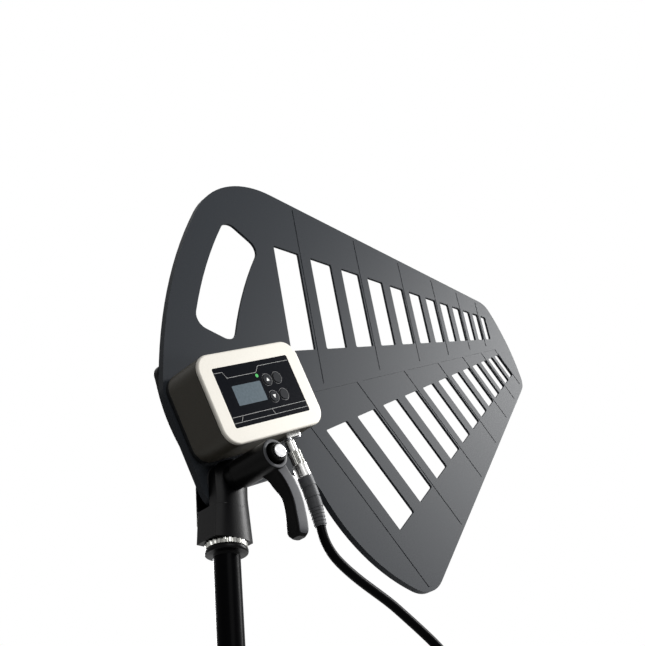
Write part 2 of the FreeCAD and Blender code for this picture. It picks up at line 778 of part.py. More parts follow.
def make_shell():
    body = prism(box_outline(), SHELL_FRONT, BOX_BACK)
    foot = [edge for edge in body.Edges if edge.BoundBox.YMin > BOX_BACK - 1e-3]
    body = body.makeFillet(SHELL_FOOT_ROUND, foot)
    body = body.cut(prism(box_outline(WALL), SHELL_FRONT, SHELL_FLOOR))
    posts = [rod(CORNER_POST / 2, boss_end(), SHELL_FLOOR, x, z) for x, z in corner_places()]
    posts.extend([rod(STANDOFF / 2, CIRCUIT_BACK, SHELL_FLOOR, x, z) for x, z in plate_screw_places()])
    body = body.fuse(posts).removeSplitter()
    cuts = []
    for x, z in corner_places():
        cuts.append(rod(BEZEL_SCREW_SIZE / 2 + SLIDE_FIT, boss_end(), BOX_BACK, x, z))
        sink = BOX_BACK - BEZEL_SCREW_HEAD_DEPTH - SLIDE_FIT
        cuts.append(rod(BEZEL_SCREW_HEAD / 2 + SLIDE_FIT, sink, BOX_BACK, x, z))
    for x, z in plate_screw_places():
        grip_end = SHELL_FLOOR - PLATE_SCREW_GRIP
        cuts.append(rod(PLATE_SCREW_SIZE / 2 + SHAFT_FIT, grip_end, BOX_BACK, x, z))
        circuit_grip = CIRCUIT_BACK + CIRCUIT_SCREW_LENGTH
        cuts.append(rod(CIRCUIT_SCREW_SIZE / 2 + SHAFT_FIT, CIRCUIT_BACK, circuit_grip, x, z))
    cuts.append(rod(FEED_PIN_SIZE / 2 + SHAFT_FIT, SHELL_FLOOR, BOX_BACK, FEED_PIN_X, CENTRE_Z))
    wall_hole = Part.makeCylinder(
        JACK_BARREL / 2 + SLIDE_FIT, WALL, vec(JACK_X, -JACK_DEPTH, BOX_LOW_Z), vec(0, 0, 1))
    cuts.append(wall_hole)
    for x, depth in jack_screw_places():
        cuts.append(Part.makeCylinder(
            JACK_SCREW_SIZE / 2 + SHAFT_FIT, WALL, vec(x, depth, BOX_LOW_Z), vec(0, 0, 1)))
    return body.cut(cuts)


def make_seal():
    ring = prism(box_outline(SEAL_INSET), BEZEL_BACK, SHELL_FRONT)
    return ring.cut(prism(box_outline(SEAL_INSET + SEAL_WIDTH), BEZEL_BACK, SHELL_FRONT))


def make_bezel():
    plate = prism(box_outline(), BOX_FRONT, BEZEL_BACK)
    rim = [edge for edge in plate.Edges if edge.BoundBox.YMax < BOX_FRONT + 1e-3]
    plate = plate.makeFillet(BEZEL_ROUND, rim)
    bosses = [rod(CORNER_POST / 2 - SLIDE_FIT, BEZEL_BACK, boss_end(), x, z) for x, z in corner_places()]
    plate = plate.fuse(bosses)
    pocket = rounded_rectangle(
        BOX_X, BOX_Z, PANEL_WIDTH + 2 * SLIDE_FIT, PANEL_HEIGHT + 2 * SLIDE_FIT, PANEL_CORNER + SLIDE_FIT)
    through = rounded_rectangle(
        BOX_X, BOX_Z, PANEL_WIDTH - 2 * LEDGE, PANEL_HEIGHT - 2 * LEDGE, PANEL_CORNER)
    cuts = [prism(pocket, BOX_FRONT, PANEL_BACK), prism(through, BOX_FRONT, BEZEL_BACK)]
    for x, z in corner_places():
        cuts.append(rod(BEZEL_SCREW_SIZE / 2 + SHAFT_FIT, BEZEL_BACK, boss_end(), x, z))
    return plate.cut(cuts)


def window_outline(grow=0.0):
    width = WINDOW_WIDTH + 2 * grow
    height = WINDOW_HEIGHT + 2 * grow
    return rounded_rectangle(BOX_X + WINDOW_X, BOX_Z + WINDOW_Z, width, height, WINDOW_CORNER + grow)


def make_panel():
    panel = prism(rounded_rectangle(BOX_X, BOX_Z, PANEL_WIDTH, PANEL_HEIGHT, PANEL_CORNER), PANEL_FRONT, PANEL_BACK)
    cuts = [prism(window_outline(), PANEL_FRONT, PANEL_BACK)]
    for x, z in BUTTON_PLACES.values():
        cuts.append(rod(BUTTON_SIZE / 2 + SLIDE_FIT, PANEL_FRONT, PANEL_BACK, BOX_X + x, BOX_Z + z))
    cuts.append(rod(LED_SIZE / 2 + SHAFT_FIT, PANEL_FRONT, PANEL_BACK, BOX_X + LED_X, BOX_Z + LED_Z))
    return panel.cut(cuts)


def make_display_module():
    outline = rounded_rectangle(
        BOX_X + WINDOW_X, BOX_Z + WINDOW_Z, MODULE_WIDTH, MODULE_HEIGHT, WINDOW_CORNER)
    return prism(outline, PANEL_BACK, CIRCUIT_FRONT)


def make_button(x, z):
    """Domed key cap with a flange behind the panel."""
    flange_front = PANEL_BACK + SLIDE_FIT
    flange_back = flange_front + BUTTON_FLANGE_DEPTH
    crown = PANEL_FRONT - BUTTON_PROUD
    profile = [
        (0, flange_back),
        (BUTTON_FLANGE / 2, flange_back),
        (BUTTON_FLANGE / 2, flange_front),
        (BUTTON_SIZE / 2, flange_front),
        (BUTTON_SIZE / 2, crown + BUTTON_BEVEL),
        (BUTTON_SIZE / 2 - BUTTON_BEVEL, crown),
        (0, crown),
    ]
    return turned_y(profile, BOX_X + x, BOX_Z + z)


def make_switches():
    """Four push switches under the keys, with room for the key travel."""
    switches = []
    rest = PANEL_BACK + SLIDE_FIT + BUTTON_FLANGE_DEPTH
    plunger_front = rest + BUTTON_TRAVEL + SLIDE_FIT
    for x, z in BUTTON_PLACES.values():
        corner = vec(BOX_X + x - SWITCH_SIDE / 2, CIRCUIT_FRONT - SWITCH_DEPTH, BOX_Z + z - SWITCH_SIDE / 2)
        body = Part.makeBox(SWITCH_SIDE, SWITCH_DEPTH, SWITCH_SIDE, corner)
        plunger = rod(PLUNGER_SIZE / 2, plunger_front, CIRCUIT_FRONT - SWITCH_DEPTH, BOX_X + x, BOX_Z + z)
        switches.append(body.fuse(plunger))
    return Part.makeCompound(switches)


def make_circuit_board():
    inset = WALL + SWING_GAP
    board = prism(box_outline(inset), CIRCUIT_FRONT, CIRCUIT_BACK)
    cuts = [rod(CORNER_POST / 2 + SWING_GAP, CIRCUIT_FRONT, CIRCUIT_BACK, x, z) for x, z in corner_places()]
    for x, z in plate_screw_places():
        cuts.append(rod(CIRCUIT_SCREW_SIZE / 2 + SLIDE_FIT, CIRCUIT_FRONT, CIRCUIT_BACK, x, z))
    cuts.append(rod(FEED_PIN_SIZE / 2 + SHAFT_FIT, CIRCUIT_FRONT, CIRCUIT_BACK, FEED_PIN_X, CENTRE_Z))
    return board.cut(cuts)


# Connectors, drawn with their axis along -Z from the jack's flange at Z = 0


def jack_screw_places():
    reach = JACK_SCREW_PITCH / 2
    return [(JACK_X + a * reach, -JACK_DEPTH + b * reach) for a in (-1, 1) for b in (-1, 1)]


def jack_place():
    """Outer face of the jack's flange, in the antenna frame."""
    return vec(JACK_X, -JACK_DEPTH, BOX_LOW_Z - JACK_FLANGE_DEPTH)


def at_jack(shape):
    moved = shape.copy()
    moved.translate(jack_place())
    return moved


def make_jack_body():
    half = JACK_FLANGE / 2
    flange = Part.makeBox(JACK_FLANGE, JACK_FLANGE, JACK_FLANGE_DEPTH, vec(-half, -half, 0))
    upright = [edge for edge in flange.Edges if edge.BoundBox.ZLength > JACK_FLANGE_DEPTH / 2]
    flange = flange.makeFillet(JACK_FLANGE_CORNER, upright)
    length = JACK_BARREL_LENGTH + JACK_FLANGE_DEPTH + JACK_BACK_LENGTH
    barrel = Part.makeCylinder(JACK_BARREL / 2, length, vec(0, 0, -JACK_BARREL_LENGTH))
    body = flange.fuse(barrel)
    bore = Part.makeCylinder(JACK_BORE / 2, length, vec(0, 0, -JACK_BARREL_LENGTH))
    body = body.cut(bore)
    reach = JACK_SCREW_PITCH / 2
    holes = []
    for a in (-1, 1):
        for b in (-1, 1):
            spot = vec(a * reach, b * reach, 0)
            holes.append(Part.makeCylinder(JACK_SCREW_SIZE / 2 + SLIDE_FIT, JACK_FLANGE_DEPTH, spot))
    return body.cut(holes)


def make_jack_insulator():
    length = JACK_BARREL_LENGTH / 2 + JACK_FLANGE_DEPTH + JACK_BACK_LENGTH
    foot = -JACK_BARREL_LENGTH / 2
    body = Part.makeCylinder(JACK_BORE / 2 - SHAFT_FIT, length, vec(0, 0, foot))
    return body.cut(Part.makeCylinder(CONTACT_SIZE / 2 + SHAFT_FIT, length, vec(0, 0, foot)))


def make_jack_contact():
    foot = -JACK_BARREL_LENGTH / 2
    length = JACK_BARREL_LENGTH / 2 + JACK_FLANGE_DEPTH + JACK_BACK_LENGTH + CONTACT_TAIL
    contact = Part.makeCylinder(CONTACT_SIZE / 2, length, vec(0, 0, foot))
    return contact.cut(Part.makeCylinder(PIN_SIZE / 2 + SHAFT_FIT, CONTACT_SOCKET, vec(0, 0, foot)))


def make_jack_screws():
    screws = []
    reach = JACK_SCREW_PITCH / 2
    for a in (-1, 1):
        for b in (-1, 1):
            head = Part.makeCylinder(
                JACK_SCREW_HEAD / 2, JACK_SCREW_HEAD_DEPTH, vec(a * reach, b * reach, -JACK_SCREW_HEAD_DEPTH))
            shank = Part.makeCylinder(JACK_SCREW_SIZE / 2, JACK_SCREW_LENGTH, vec(a * reach, b * reach, 0))
            screws.append(head.fuse(shank))
    return Part.makeCompound(screws)


def make_plug_body():
    """Inner body of the plug: nose, collar that holds the nut, sleeve and tail."""
    nose = JACK_BORE / 2 - SLIDE_FIT
    collar = JACK_BARREL / 2
    neck = collar - PLUG_NECK_STEP
    collar_top = -JACK_BARREL_LENGTH - TURN_GAP
    collar_foot = -(NUT_START + NUT_LENGTH - NUT_SHOULDER) + SLIDE_FIT
    sleeve_top = -SLEEVE_START
    profile = [
        (PIN_SIZE / 2 + SHAFT_FIT, collar_top + PLUG_NOSE_LENGTH),
        (nose, collar_top + PLUG_NOSE_LENGTH),
        (nose, collar_top),
        (collar, collar_top),
        (collar, collar_foot),
        (neck, collar_foot),
        (neck, sleeve_top),
        (SLEEVE_SIZE / 2, sleeve_top),
        (SLEEVE_SIZE / 2, -RING_START),
        (TAIL_SIZE / 2, -RING_START),
        (TAIL_SIZE / 2, -RING_START - TAIL_LENGTH),
        (PIN_SIZE / 2 + SHAFT_FIT, -RING_START - TAIL_LENGTH),
    ]
    return turned_z(profile)


def make_plug_pin():
    top = CONTACT_SOCKET - JACK_BARREL_LENGTH / 2 - PIN_BOTTOM_GAP
    foot = -RING_START - TAIL_LENGTH
    return Part.makeCylinder(PIN_SIZE / 2, top - foot, vec(0, 0, foot))


def make_coupling_nut():
    """Knurled nut that runs on the jack's thread and turns on the plug's neck."""
    foot = -(NUT_START + NUT_LENGTH)
    top = -NUT_START
    neck = JACK_BARREL / 2 - PLUG_NECK_STEP + SLIDE_FIT
    nut = toothed_ring(NUT_SIZE / 2, NUT_TOOTH, NUT_TEETH, neck, foot, top)
    thread = Part.makeCylinder(JACK_BARREL / 2 + SLIDE_FIT, NUT_LENGTH - NUT_SHOULDER, vec(0, 0, foot + NUT_SHOULDER))
    return nut.cut(thread)


def make_clamp_ring():
    foot = -BOOT_START
    ring = Part.makeCylinder(RING_SIZE / 2, RING_LENGTH, vec(0, 0, foot))
    rims = [edge for edge in ring.Edges if edge.Closed and edge.BoundBox.ZLength < 1e-6]
    ring = ring.makeFillet(RING_ROUND, rims)
    return ring.cut(Part.makeCylinder(TAIL_SIZE / 2 + SLIDE_FIT, RING_LENGTH, vec(0, 0, foot)))


def boot_station(run):
    """Centre and direction of the bent boot's axis at a distance from its start."""
    bend = math.radians(BOOT_BEND)
    radius = BOOT_LENGTH / bend
    turn = run / radius
    centre = vec(-radius * (1 - math.cos(turn)), 0, -BOOT_START - radius * math.sin(turn))
    heading = vec(-math.sin(turn), 0, -math.cos(turn))
    return centre, heading


def make_boot():
    """Rubber boot with broad bands, then a ribbed taper, bent with the cord."""
    rings = []
    band_length = BOOT_LENGTH * BOOT_BAND_SHARE / BOOT_BANDS
    band_step = (BOOT_SIZE - SLEEVE_SIZE) / 2 / BOOT_BANDS
    for index in range(BOOT_BANDS):
        start = index * band_length
        radius = BOOT_SIZE / 2 - index * band_step
        rings.append((start + BOOT_GROOVE_WIDTH / 2 * (index > 0), radius))
        rings.append((start + band_length - 1.5 * BOOT_GROOVE_WIDTH, radius))
        rings.append((start + band_length - BOOT_GROOVE_WIDTH, radius - BOOT_GROOVE))
        rings.append((start + band_length, radius - BOOT_GROOVE))
    ribs_start = BOOT_LENGTH * BOOT_BAND_SHARE
    rib_length = (BOOT_LENGTH - ribs_start) / BOOT_RIBS
    taper = (SLEEVE_SIZE - BOOT_END_SIZE) / 2 / BOOT_RIBS
    for index in range(BOOT_RIBS):
        start = ribs_start + index * rib_length
        radius = SLEEVE_SIZE / 2 - (index + 1) * taper
        crest_end = start + rib_length * BOOT_RIB_SHARE
        rings.append((start + BOOT_GROOVE_WIDTH / 2, radius))
        rings.append((crest_end, radius))
        rings.append((crest_end + BOOT_RIB_SLOPE, radius - BOOT_GROOVE))
        if index < BOOT_RIBS - 1:
            rings.append((start + rib_length, radius - BOOT_GROOVE))
    rings.append((BOOT_LENGTH, BOOT_END_SIZE / 2 - BOOT_GROOVE))
    wires = []
    for run, radius in rings:
        centre, heading = boot_station(run)
        wires.append(Part.Wire(Part.makeCircle(radius, centre, heading)))
    boot = Part.makeLoft(wires, True, True)
    tail_hole = Part.makeCylinder(TAIL_SIZE / 2, TAIL_LENGTH, vec(0, 0, -BOOT_START - TAIL_LENGTH + RING_LENGTH))
    return boot.cut(tail_hole)


# Coaxial lead


def lead_points():
    """Route of the lead from the boot's end to the side of its coil."""
    boot_end = boot_station(BOOT_LENGTH)[0]
    start = aim_placement().multVec(boot_end + jack_place())
    entry = vec(COIL_CENTRE[0] - COIL_RADIUS - (COIL_LAYERS - 1) * LEAD_SIZE / 2,
                COIL_CENTRE[1] + (COIL_ROWS - 1) * LEAD_SIZE / 2, COIL_CENTRE[2])
    points = [start]
    for x, y, z in LEAD_ROUTE:
        points.append(vec(x, y, z))
    points.append(entry)
    return points


def lead_path(points):
    """Straight runs joined by tangent arcs as large as the runs allow."""
    edges = []
    last = points[0]
    for index in range(1, len(points) - 1):
        before = points[index] - points[index - 1]
        after = points[index + 1] - points[index]
        run = min(before.Length, after.Length)
        turn = before.getAngle(after)
        reach = BEND_REACH_SHARE * run
        radius = reach / math.tan(turn / 2)
        print("lead bend %2d radius %.1f mm" % (index, radius))
        back = points[index] - before.normalize() * reach
        ahead = points[index] + after.normalize() * reach
        middle = (before * -1 + after).normalize()
        crown = points[index] + middle * (radius / math.cos(turn / 2) - radius)
        edges.append(Part.LineSegment(last, back).toShape())
        edges.append(Part.Arc(back, crown, ahead).toShape())
        last = ahead
    edges.append(Part.LineSegment(last, points[-1]).toShape())
    return Part.Wire(edges)


def make_lead():
    points = lead_points()
    path = lead_path(points)
    heading = points[1] - points[0]
    section = Part.Wire(Part.makeCircle(LEAD_SIZE / 2, points[0], heading))
    lead = path.makePipeShell([section], True, False)
    ideal = math.pi * LEAD_SIZE ** 2 / 4 * path.Length
    print("lead length %.0f mm, volume share %.4f" % (path.Length, lead.Volume / ideal))
    return lead


def make_coil(lead):
    """Outer shape of the tied coil, with the channel where the lead comes in."""
    x, y, z = COIL_CENTRE
    inner = COIL_RADIUS - COIL_HALF_WIDTH
    outer = COIL_RADIUS + COIL_HALF_WIDTH
    profile = Part.makePlane(COIL_LAYERS * LEAD_SIZE, COIL_ROWS * LEAD_SIZE)
    profile.translate(vec(x + inner, y - COIL_HALF_DEPTH, z))
    ring = profile.revolve(vec(x, y, z), vec(0, 1, 0), 360)
    rims = [edge for edge in ring.Edges if abs(edge.BoundBox.XLength - 2 * outer) < 1e-3]
    ring = ring.makeFillet(LEAD_SIZE / 2 - COIL_RIM_FLAT, rims)
    rims = [edge for edge in ring.Edges
            if abs(edge.BoundBox.XLength - 2 * inner) < 1e-3 and edge.BoundBox.YLength < 1e-3]
    ring = ring.makeFillet(LEAD_SIZE / 2 - COIL_RIM_FLAT, rims)
    return ring.cut(lead)


def make_tie():
    """Strap round the coil where the lead joins it."""
    x, y, z = COIL_CENTRE
    near = x - COIL_RADIUS - COIL_HALF_WIDTH - SLIDE_FIT
    half_width = TIE_WIDTH / 2
    inner = COIL_RADIUS - COIL_HALF_WIDTH
    far = x - math.sqrt(inner ** 2 - half_width ** 2) + SLIDE_FIT
    half_depth = COIL_HALF_DEPTH + SLIDE_FIT
    hole = Part.makeBox(far - near, 2 * half_depth, TIE_WIDTH, vec(near, y - half_depth, z - half_width))
    strap = Part.makeBox(
        far - near + 2 * TIE_DEPTH, 2 * half_depth + 2 * TIE_DEPTH, TIE_WIDTH,
        vec(near - TIE_DEPTH, y - half_depth - TIE_DEPTH, z - half_width))
    upright = [edge for edge in strap.Edges if edge.BoundBox.ZLength > TIE_WIDTH / 2]
    strap = strap.makeFillet(TIE_DEPTH, upright)
    return strap.cut(hole)


def place_far(shape):
    """Lay the far plug along the front of the coil, at its foot, nut towards +X."""
    x, y, z = COIL_CENTRE
    rest = y - COIL_HALF_DEPTH - BOOT_SIZE / 2 - SLIDE_FIT
    turn = FreeCAD.Rotation(vec(0, 1, 0), 90)
    length = BOOT_START + BOOT_LENGTH
    spot = FreeCAD.Placement(vec(x + length / 2, rest, z - COIL_RADIUS), turn)
    moved = shape.copy()
    moved.Placement = spot.multiply(shape.Placement)
    return moved


# Swivel bracket


def housing_outline():
    """Front view of the bracket: splayed foot, waist and round knuckle."""
    waist_z = AXIS_HEIGHT - HOUSING_WAIST_DROP
    foot_left = vec(-HOUSING_FOOT_HALF, 0, HOUSING_FOOT_Z)
    foot_right = vec(HOUSING_FOOT_HALF, 0, HOUSING_FOOT_Z)
    waist_left = vec(-HOUSING_WAIST_HALF, 0, waist_z)
    waist_right = vec(HOUSING_WAIST_HALF, 0, waist_z)
    side_left = vec(-KNUCKLE_RADIUS, 0, AXIS_HEIGHT)
    side_right = vec(KNUCKLE_RADIUS, 0, AXIS_HEIGHT)
    top = vec(0, 0, AXIS_HEIGHT + KNUCKLE_RADIUS)
    edges = [
        Part.LineSegment(foot_left, foot_right).toShape(),
        Part.LineSegment(foot_right, waist_right).toShape(),
        Part.LineSegment(waist_right, side_right).toShape(),
        Part.Arc(side_right, top, side_left).toShape(),
        Part.LineSegment(side_left, waist_left).toShape(),
        Part.LineSegment(waist_left, foot_left).toShape(),
    ]
    return Part.Wire(edges)


def make_housing():
    body = prism(housing_outline(), -HOUSING_FRONT, HOUSING_REAR)
    faces = [edge for edge in body.Edges if edge.BoundBox.YLength < 1e-3]
    body = body.makeFillet(HOUSING_ROUND, faces)
    lap_z = AXIS_HEIGHT - TONGUE_RADIUS - SWING_GAP
    lap_front = -FRICTION_WASHER
    lap = Part.makeBox(
        4 * KNUCKLE_RADIUS, HOUSING_REAR - lap_front, 4 * KNUCKLE_RADIUS,
        vec(-2 * KNUCKLE_RADIUS, lap_front, lap_z))
    socket = Part.makeCylinder(STUD_RADIUS + SLIDE_FIT, STUD_SINK + SOCKET_END_GAP, vec(0, 0, HOUSING_FOOT_Z))
    bore = rod(BOLT_SIZE / 2 + SLIDE_FIT, -HOUSING_FRONT, HOUSING_REAR, 0, AXIS_HEIGHT)
    return body.cut([lap, socket, bore])


def washer(radius, depth_from, depth_to, bore):
    ring = rod(radius, depth_from, depth_to, 0, AXIS_HEIGHT)
    return ring.cut(rod(bore, depth_from, depth_to, 0, AXIS_HEIGHT))


def make_bolt():
    """Hexagon bolt, held in the tilt plate, whose thread the lever draws up."""
    head = hexagon(BOLT_HEAD, BOLT_HEAD_SEAT, BOLT_HEAD_SEAT + BOLT_HEAD_DEPTH)
    shank = rod(BOLT_SIZE / 2, RECESS_FLOOR + HUB_WEB + BOLT_END_GAP, BOLT_HEAD_SEAT)
    return head.fuse(shank)


def lever_section(index):
    """Rounded section of the lever arm, square to the arm's centre line."""
    x, z, width, front, back = LEVER_SECTIONS[index]
    before = LEVER_SECTIONS[max(index - 1, 0)]
    after = LEVER_SECTIONS[min(index + 1, len(LEVER_SECTIONS) - 1)]
    along = unit(after[0] - before[0], after[1] - before[1])
    depth = back - front
    flat = rounded_rectangle(0, 0, width, depth, min(LEVER_ROUND, width / LEVER_WIDTH_PER_ROUND))
    across = vec(-along[1], 0, along[0])
    matrix = FreeCAD.Matrix(
        across.x, along[0], 0, x,
        0, 0, 1, -(front + back) / 2,
        across.z, along[1], 0, z + AXIS_HEIGHT,
        0, 0, 0, 1)
    section = flat.copy()
    section.transformShape(matrix)
    return section


def make_lever():
    hub = rod(HUB_RADIUS, HUB_BACK, HUB_FRONT, 0, AXIS_HEIGHT)
    rim = [edge for edge in hub.Edges if edge.BoundBox.YMax < HUB_FRONT + 1e-3 and edge.Closed]
    hub = hub.makeFillet(HUB_ROUND, rim)
    arm = Part.makeLoft([lever_section(index) for index in range(len(LEVER_SECTIONS))], True, False)
    recess = rod(HUB_RECESS_RADIUS, HUB_FRONT, RECESS_FLOOR, 0, AXIS_HEIGHT)
    sleeve = rod(SLEEVE_RADIUS, HUB_FRONT - SLEEVE_PROUD, RECESS_FLOOR + SLEEVE_ROOT, 0, AXIS_HEIGHT)
    lever = hub.fuse(arm).cut(recess).fuse(sleeve)
    cuts = [
        rod(INSERT_RADIUS + SHAFT_FIT, HUB_BACK, HUB_BACK - INSERT_LENGTH, 0, AXIS_HEIGHT),
        rod(BOLT_SIZE / 2 + SLIDE_FIT, HUB_BACK, RECESS_FLOOR + HUB_WEB, 0, AXIS_HEIGHT),
        rod(CAP_RADIUS + SHAFT_FIT, HUB_FRONT - SLEEVE_PROUD, RECESS_FLOOR, 0, AXIS_HEIGHT),
    ]
    return lever.cut(cuts)


def make_cap():
    front = HUB_FRONT - SLEEVE_PROUD - CAP_PROUD
    cap = rod(CAP_RADIUS, front, RECESS_FLOOR, 0, AXIS_HEIGHT)
    rim = [edge for edge in cap.Edges if edge.BoundBox.YMax < front + 1e-3 and edge.Closed]
    return cap.makeFillet(CAP_ROUND, rim)


# Stand


def make_collar():
    profile = [
        (STUD_RADIUS + SHAFT_FIT, TUBE_LENGTH),
        (COLLAR_FOOT_RADIUS, TUBE_LENGTH),
        (COLLAR_TOP_RADIUS - COLLAR_BEVEL, COLLAR_TOP_Z - COLLAR_BAND - COLLAR_BEVEL),
        (COLLAR_TOP_RADIUS, COLLAR_TOP_Z - COLLAR_BAND),
        (COLLAR_TOP_RADIUS, COLLAR_TOP_Z),
        (STUD_RADIUS + SHAFT_FIT, COLLAR_TOP_Z),
    ]
    return turned_z(profile)


def make_stud():
    plug = Part.makeCylinder(
        TUBE_BORE_RADIUS - SHAFT_FIT, STUD_PLUG_LENGTH, vec(0, 0, TUBE_LENGTH - STUD_PLUG_LENGTH))
    thread = Part.makeCylinder(STUD_RADIUS, STUD_TOP_Z - TUBE_LENGTH, vec(0, 0, TUBE_LENGTH))
    return plug.fuse(thread)


def make_tube():
    tube = Part.makeCylinder(TUBE_RADIUS, TUBE_LENGTH)
    return tube.cut(Part.makeCylinder(TUBE_BORE_RADIUS, TUBE_LENGTH))


# Pieces that tilt with the antenna

antenna = {
    "antenna_board": make_board(),
    "tilt_plate": make_tilt_plate(),
    "base_gasket": make_gasket(),
    "box_shell": make_shell(),
    "bezel_seal": make_seal(),
    "box_bezel": make_bezel(),
    "control_panel": make_panel(),
    "display_window": prism(window_outline(-SHAFT_FIT), PANEL_FRONT, PANEL_BACK),
    "display_module": make_display_module(),
    "circuit_board": make_circuit_board(),
    "tact_switches": make_switches(),
    "jack_body": at_jack(make_jack_body()),
    "jack_insulator": at_jack(make_jack_insulator()),
    "jack_contact": at_jack(make_jack_contact()),
    "jack_screws": at_jack(make_jack_screws()),
    "plug_body": at_jack(make_plug_body()),
    "plug_pin": at_jack(make_plug_pin()),
    "coupling_nut": at_jack(make_coupling_nut()),
    "clamp_ring": at_jack(make_clamp_ring()),
    "plug_boot": at_jack(make_boot()),
}
antenna["status_led"] = rod(LED_SIZE / 2, PANEL_FRONT, CIRCUIT_FRONT, BOX_X + LED_X, BOX_Z + LED_Z)
antenna["feed_pin"] = rod(FEED_PIN_SIZE / 2, CIRCUIT_FRONT, WEB, FEED_PIN_X, CENTRE_Z)
for name, (x, z) in BUTTON_PLACES.items():
    antenna[name] = make_button(x, z)
antenna["plate_screws"] = Part.makeCompound([
    screw(x, z, PLATE_BACK, SHELL_FLOOR - PLATE_SCREW_GRIP + SLIDE_FIT, PLATE_SCREW_SIZE,
          PLATE_SCREW_HEAD, PLATE_SCREW_HEAD_DEPTH, 1)
    for x, z in plate_screw_places()])
antenna["bezel_screws"] = Part.makeCompound([
    screw(x, z, BOX_BACK - BEZEL_SCREW_HEAD_DEPTH - SLIDE_FIT, BEZEL_BACK + SLIDE_FIT, BEZEL_SCREW_SIZE,
          BEZEL_SCREW_HEAD, BEZEL_SCREW_HEAD_DEPTH, 1)
    for x, z in corner_places()])
antenna["circuit_screws"] = Part.makeCompound([
    screw(x, z, CIRCUIT_FRONT, CIRCUIT_BACK + CIRCUIT_SCREW_LENGTH - SLIDE_FIT, CIRCUIT_SCREW_SIZE,
          CIRCUIT_SCREW_HEAD, CIRCUIT_SCREW_HEAD_DEPTH, -1)
    for x, z in plate_screw_places()])
antenna["pivot_bolt"] = make_bolt()
for name, shape in antenna.items():
    parts[name] = place_antenna(shape)

# Lead, coil and far plug

lead = make_lead()
parts["lead"] = lead
parts["lead_coil"] = make_coil(lead)
parts["coil_tie"] = make_tie()
parts["far_plug_body"] = place_far(make_plug_body())
parts["far_plug_pin"] = place_far(make_plug_pin())
parts["far_coupling_nut"] = place_far(make_coupling_nut())
parts["far_clamp_ring"] = place_far(make_clamp_ring())
parts["far_plug_boot"] = place_far(make_boot())

# Bracket, lever and stand

parts["bracket_housing"] = make_housing()
parts["friction_washer"] = washer(KNUCKLE_RADIUS, -FRICTION_WASHER, 0, BOLT_SIZE / 2 + SLIDE_FIT)
parts["thrust_washer"] = washer(
    THRUST_RADIUS, -HOUSING_FRONT - THRUST_WASHER, -HOUSING_FRONT, BOLT_SIZE / 2 + SLIDE_FIT)
parts["clamp_lever"] = make_lever()
parts["lever_insert"] = washer(INSERT_RADIUS, HUB_BACK - INSERT_LENGTH, HUB_BACK, BOLT_SIZE / 2 + SHAFT_FIT)
parts["lever_cap"] = make_cap()
parts["lock_ring"] = toothed_ring(
    LOCK_RING_RADIUS, LOCK_RING_TOOTH, LOCK_RING_TEETH, STUD_RADIUS + SLIDE_FIT, RING_FOOT_Z, RING_TOP_Z)
parts["stand_collar"] = make_collar()
parts["stand_stud"] = make_stud()
parts["stand_tube"] = make_tube()

os.makedirs("parts", exist_ok=True)
for name, shape in sorted(parts.items()):
    shape.exportStep(os.path.join("parts", name + ".step"))
    print("%-20s solids %d valid %s volume %.1f" % (name, len(shape.Solids), shape.isValid(), shape.Volume))
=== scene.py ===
import json
import math

import bmesh
import bpy
from mathutils import Matrix, Vector


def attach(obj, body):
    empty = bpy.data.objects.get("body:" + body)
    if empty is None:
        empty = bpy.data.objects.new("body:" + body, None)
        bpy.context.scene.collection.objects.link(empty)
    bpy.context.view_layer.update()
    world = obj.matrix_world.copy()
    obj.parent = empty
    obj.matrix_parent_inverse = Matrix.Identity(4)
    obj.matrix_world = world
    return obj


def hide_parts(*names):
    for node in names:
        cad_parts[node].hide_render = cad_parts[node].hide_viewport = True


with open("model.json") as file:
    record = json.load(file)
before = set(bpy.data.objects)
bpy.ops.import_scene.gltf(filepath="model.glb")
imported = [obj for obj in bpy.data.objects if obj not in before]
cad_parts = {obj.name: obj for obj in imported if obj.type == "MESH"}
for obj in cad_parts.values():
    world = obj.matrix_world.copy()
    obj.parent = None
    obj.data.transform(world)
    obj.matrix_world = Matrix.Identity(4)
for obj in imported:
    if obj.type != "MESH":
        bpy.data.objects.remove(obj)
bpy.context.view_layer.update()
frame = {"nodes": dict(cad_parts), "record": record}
NODES = frame["nodes"]

MM = 0.001
TILT = math.radians(25.4)
AXIS_HEIGHT = 110.0


def at(x, y, z):
    """Point of the part's frame, from millimetres."""
    return Vector((x, y, z)) * MM


def on_antenna(x, y, z):
    """Point given in the antenna's own frame in millimetres, on the part."""
    turned_x = x * math.cos(TILT) - z * math.sin(TILT)
    turned_z = x * math.sin(TILT) + z * math.cos(TILT) + AXIS_HEIGHT
    return at(turned_x, y, turned_z)


# Camera: where the photograph was taken from

IMAGE_WIDTH = 645
FOCAL_PIXELS = 1151.0
SENSOR = 36.0
CAMERA_PLACE = (-392.24, -499.51, -168.01)
CAMERA_AZIMUTH = math.radians(44.327)
CAMERA_ELEVATION = math.radians(31.182)
CAMERA_ROLL = math.radians(-5.886)
NEAR_CLIP = 0.01


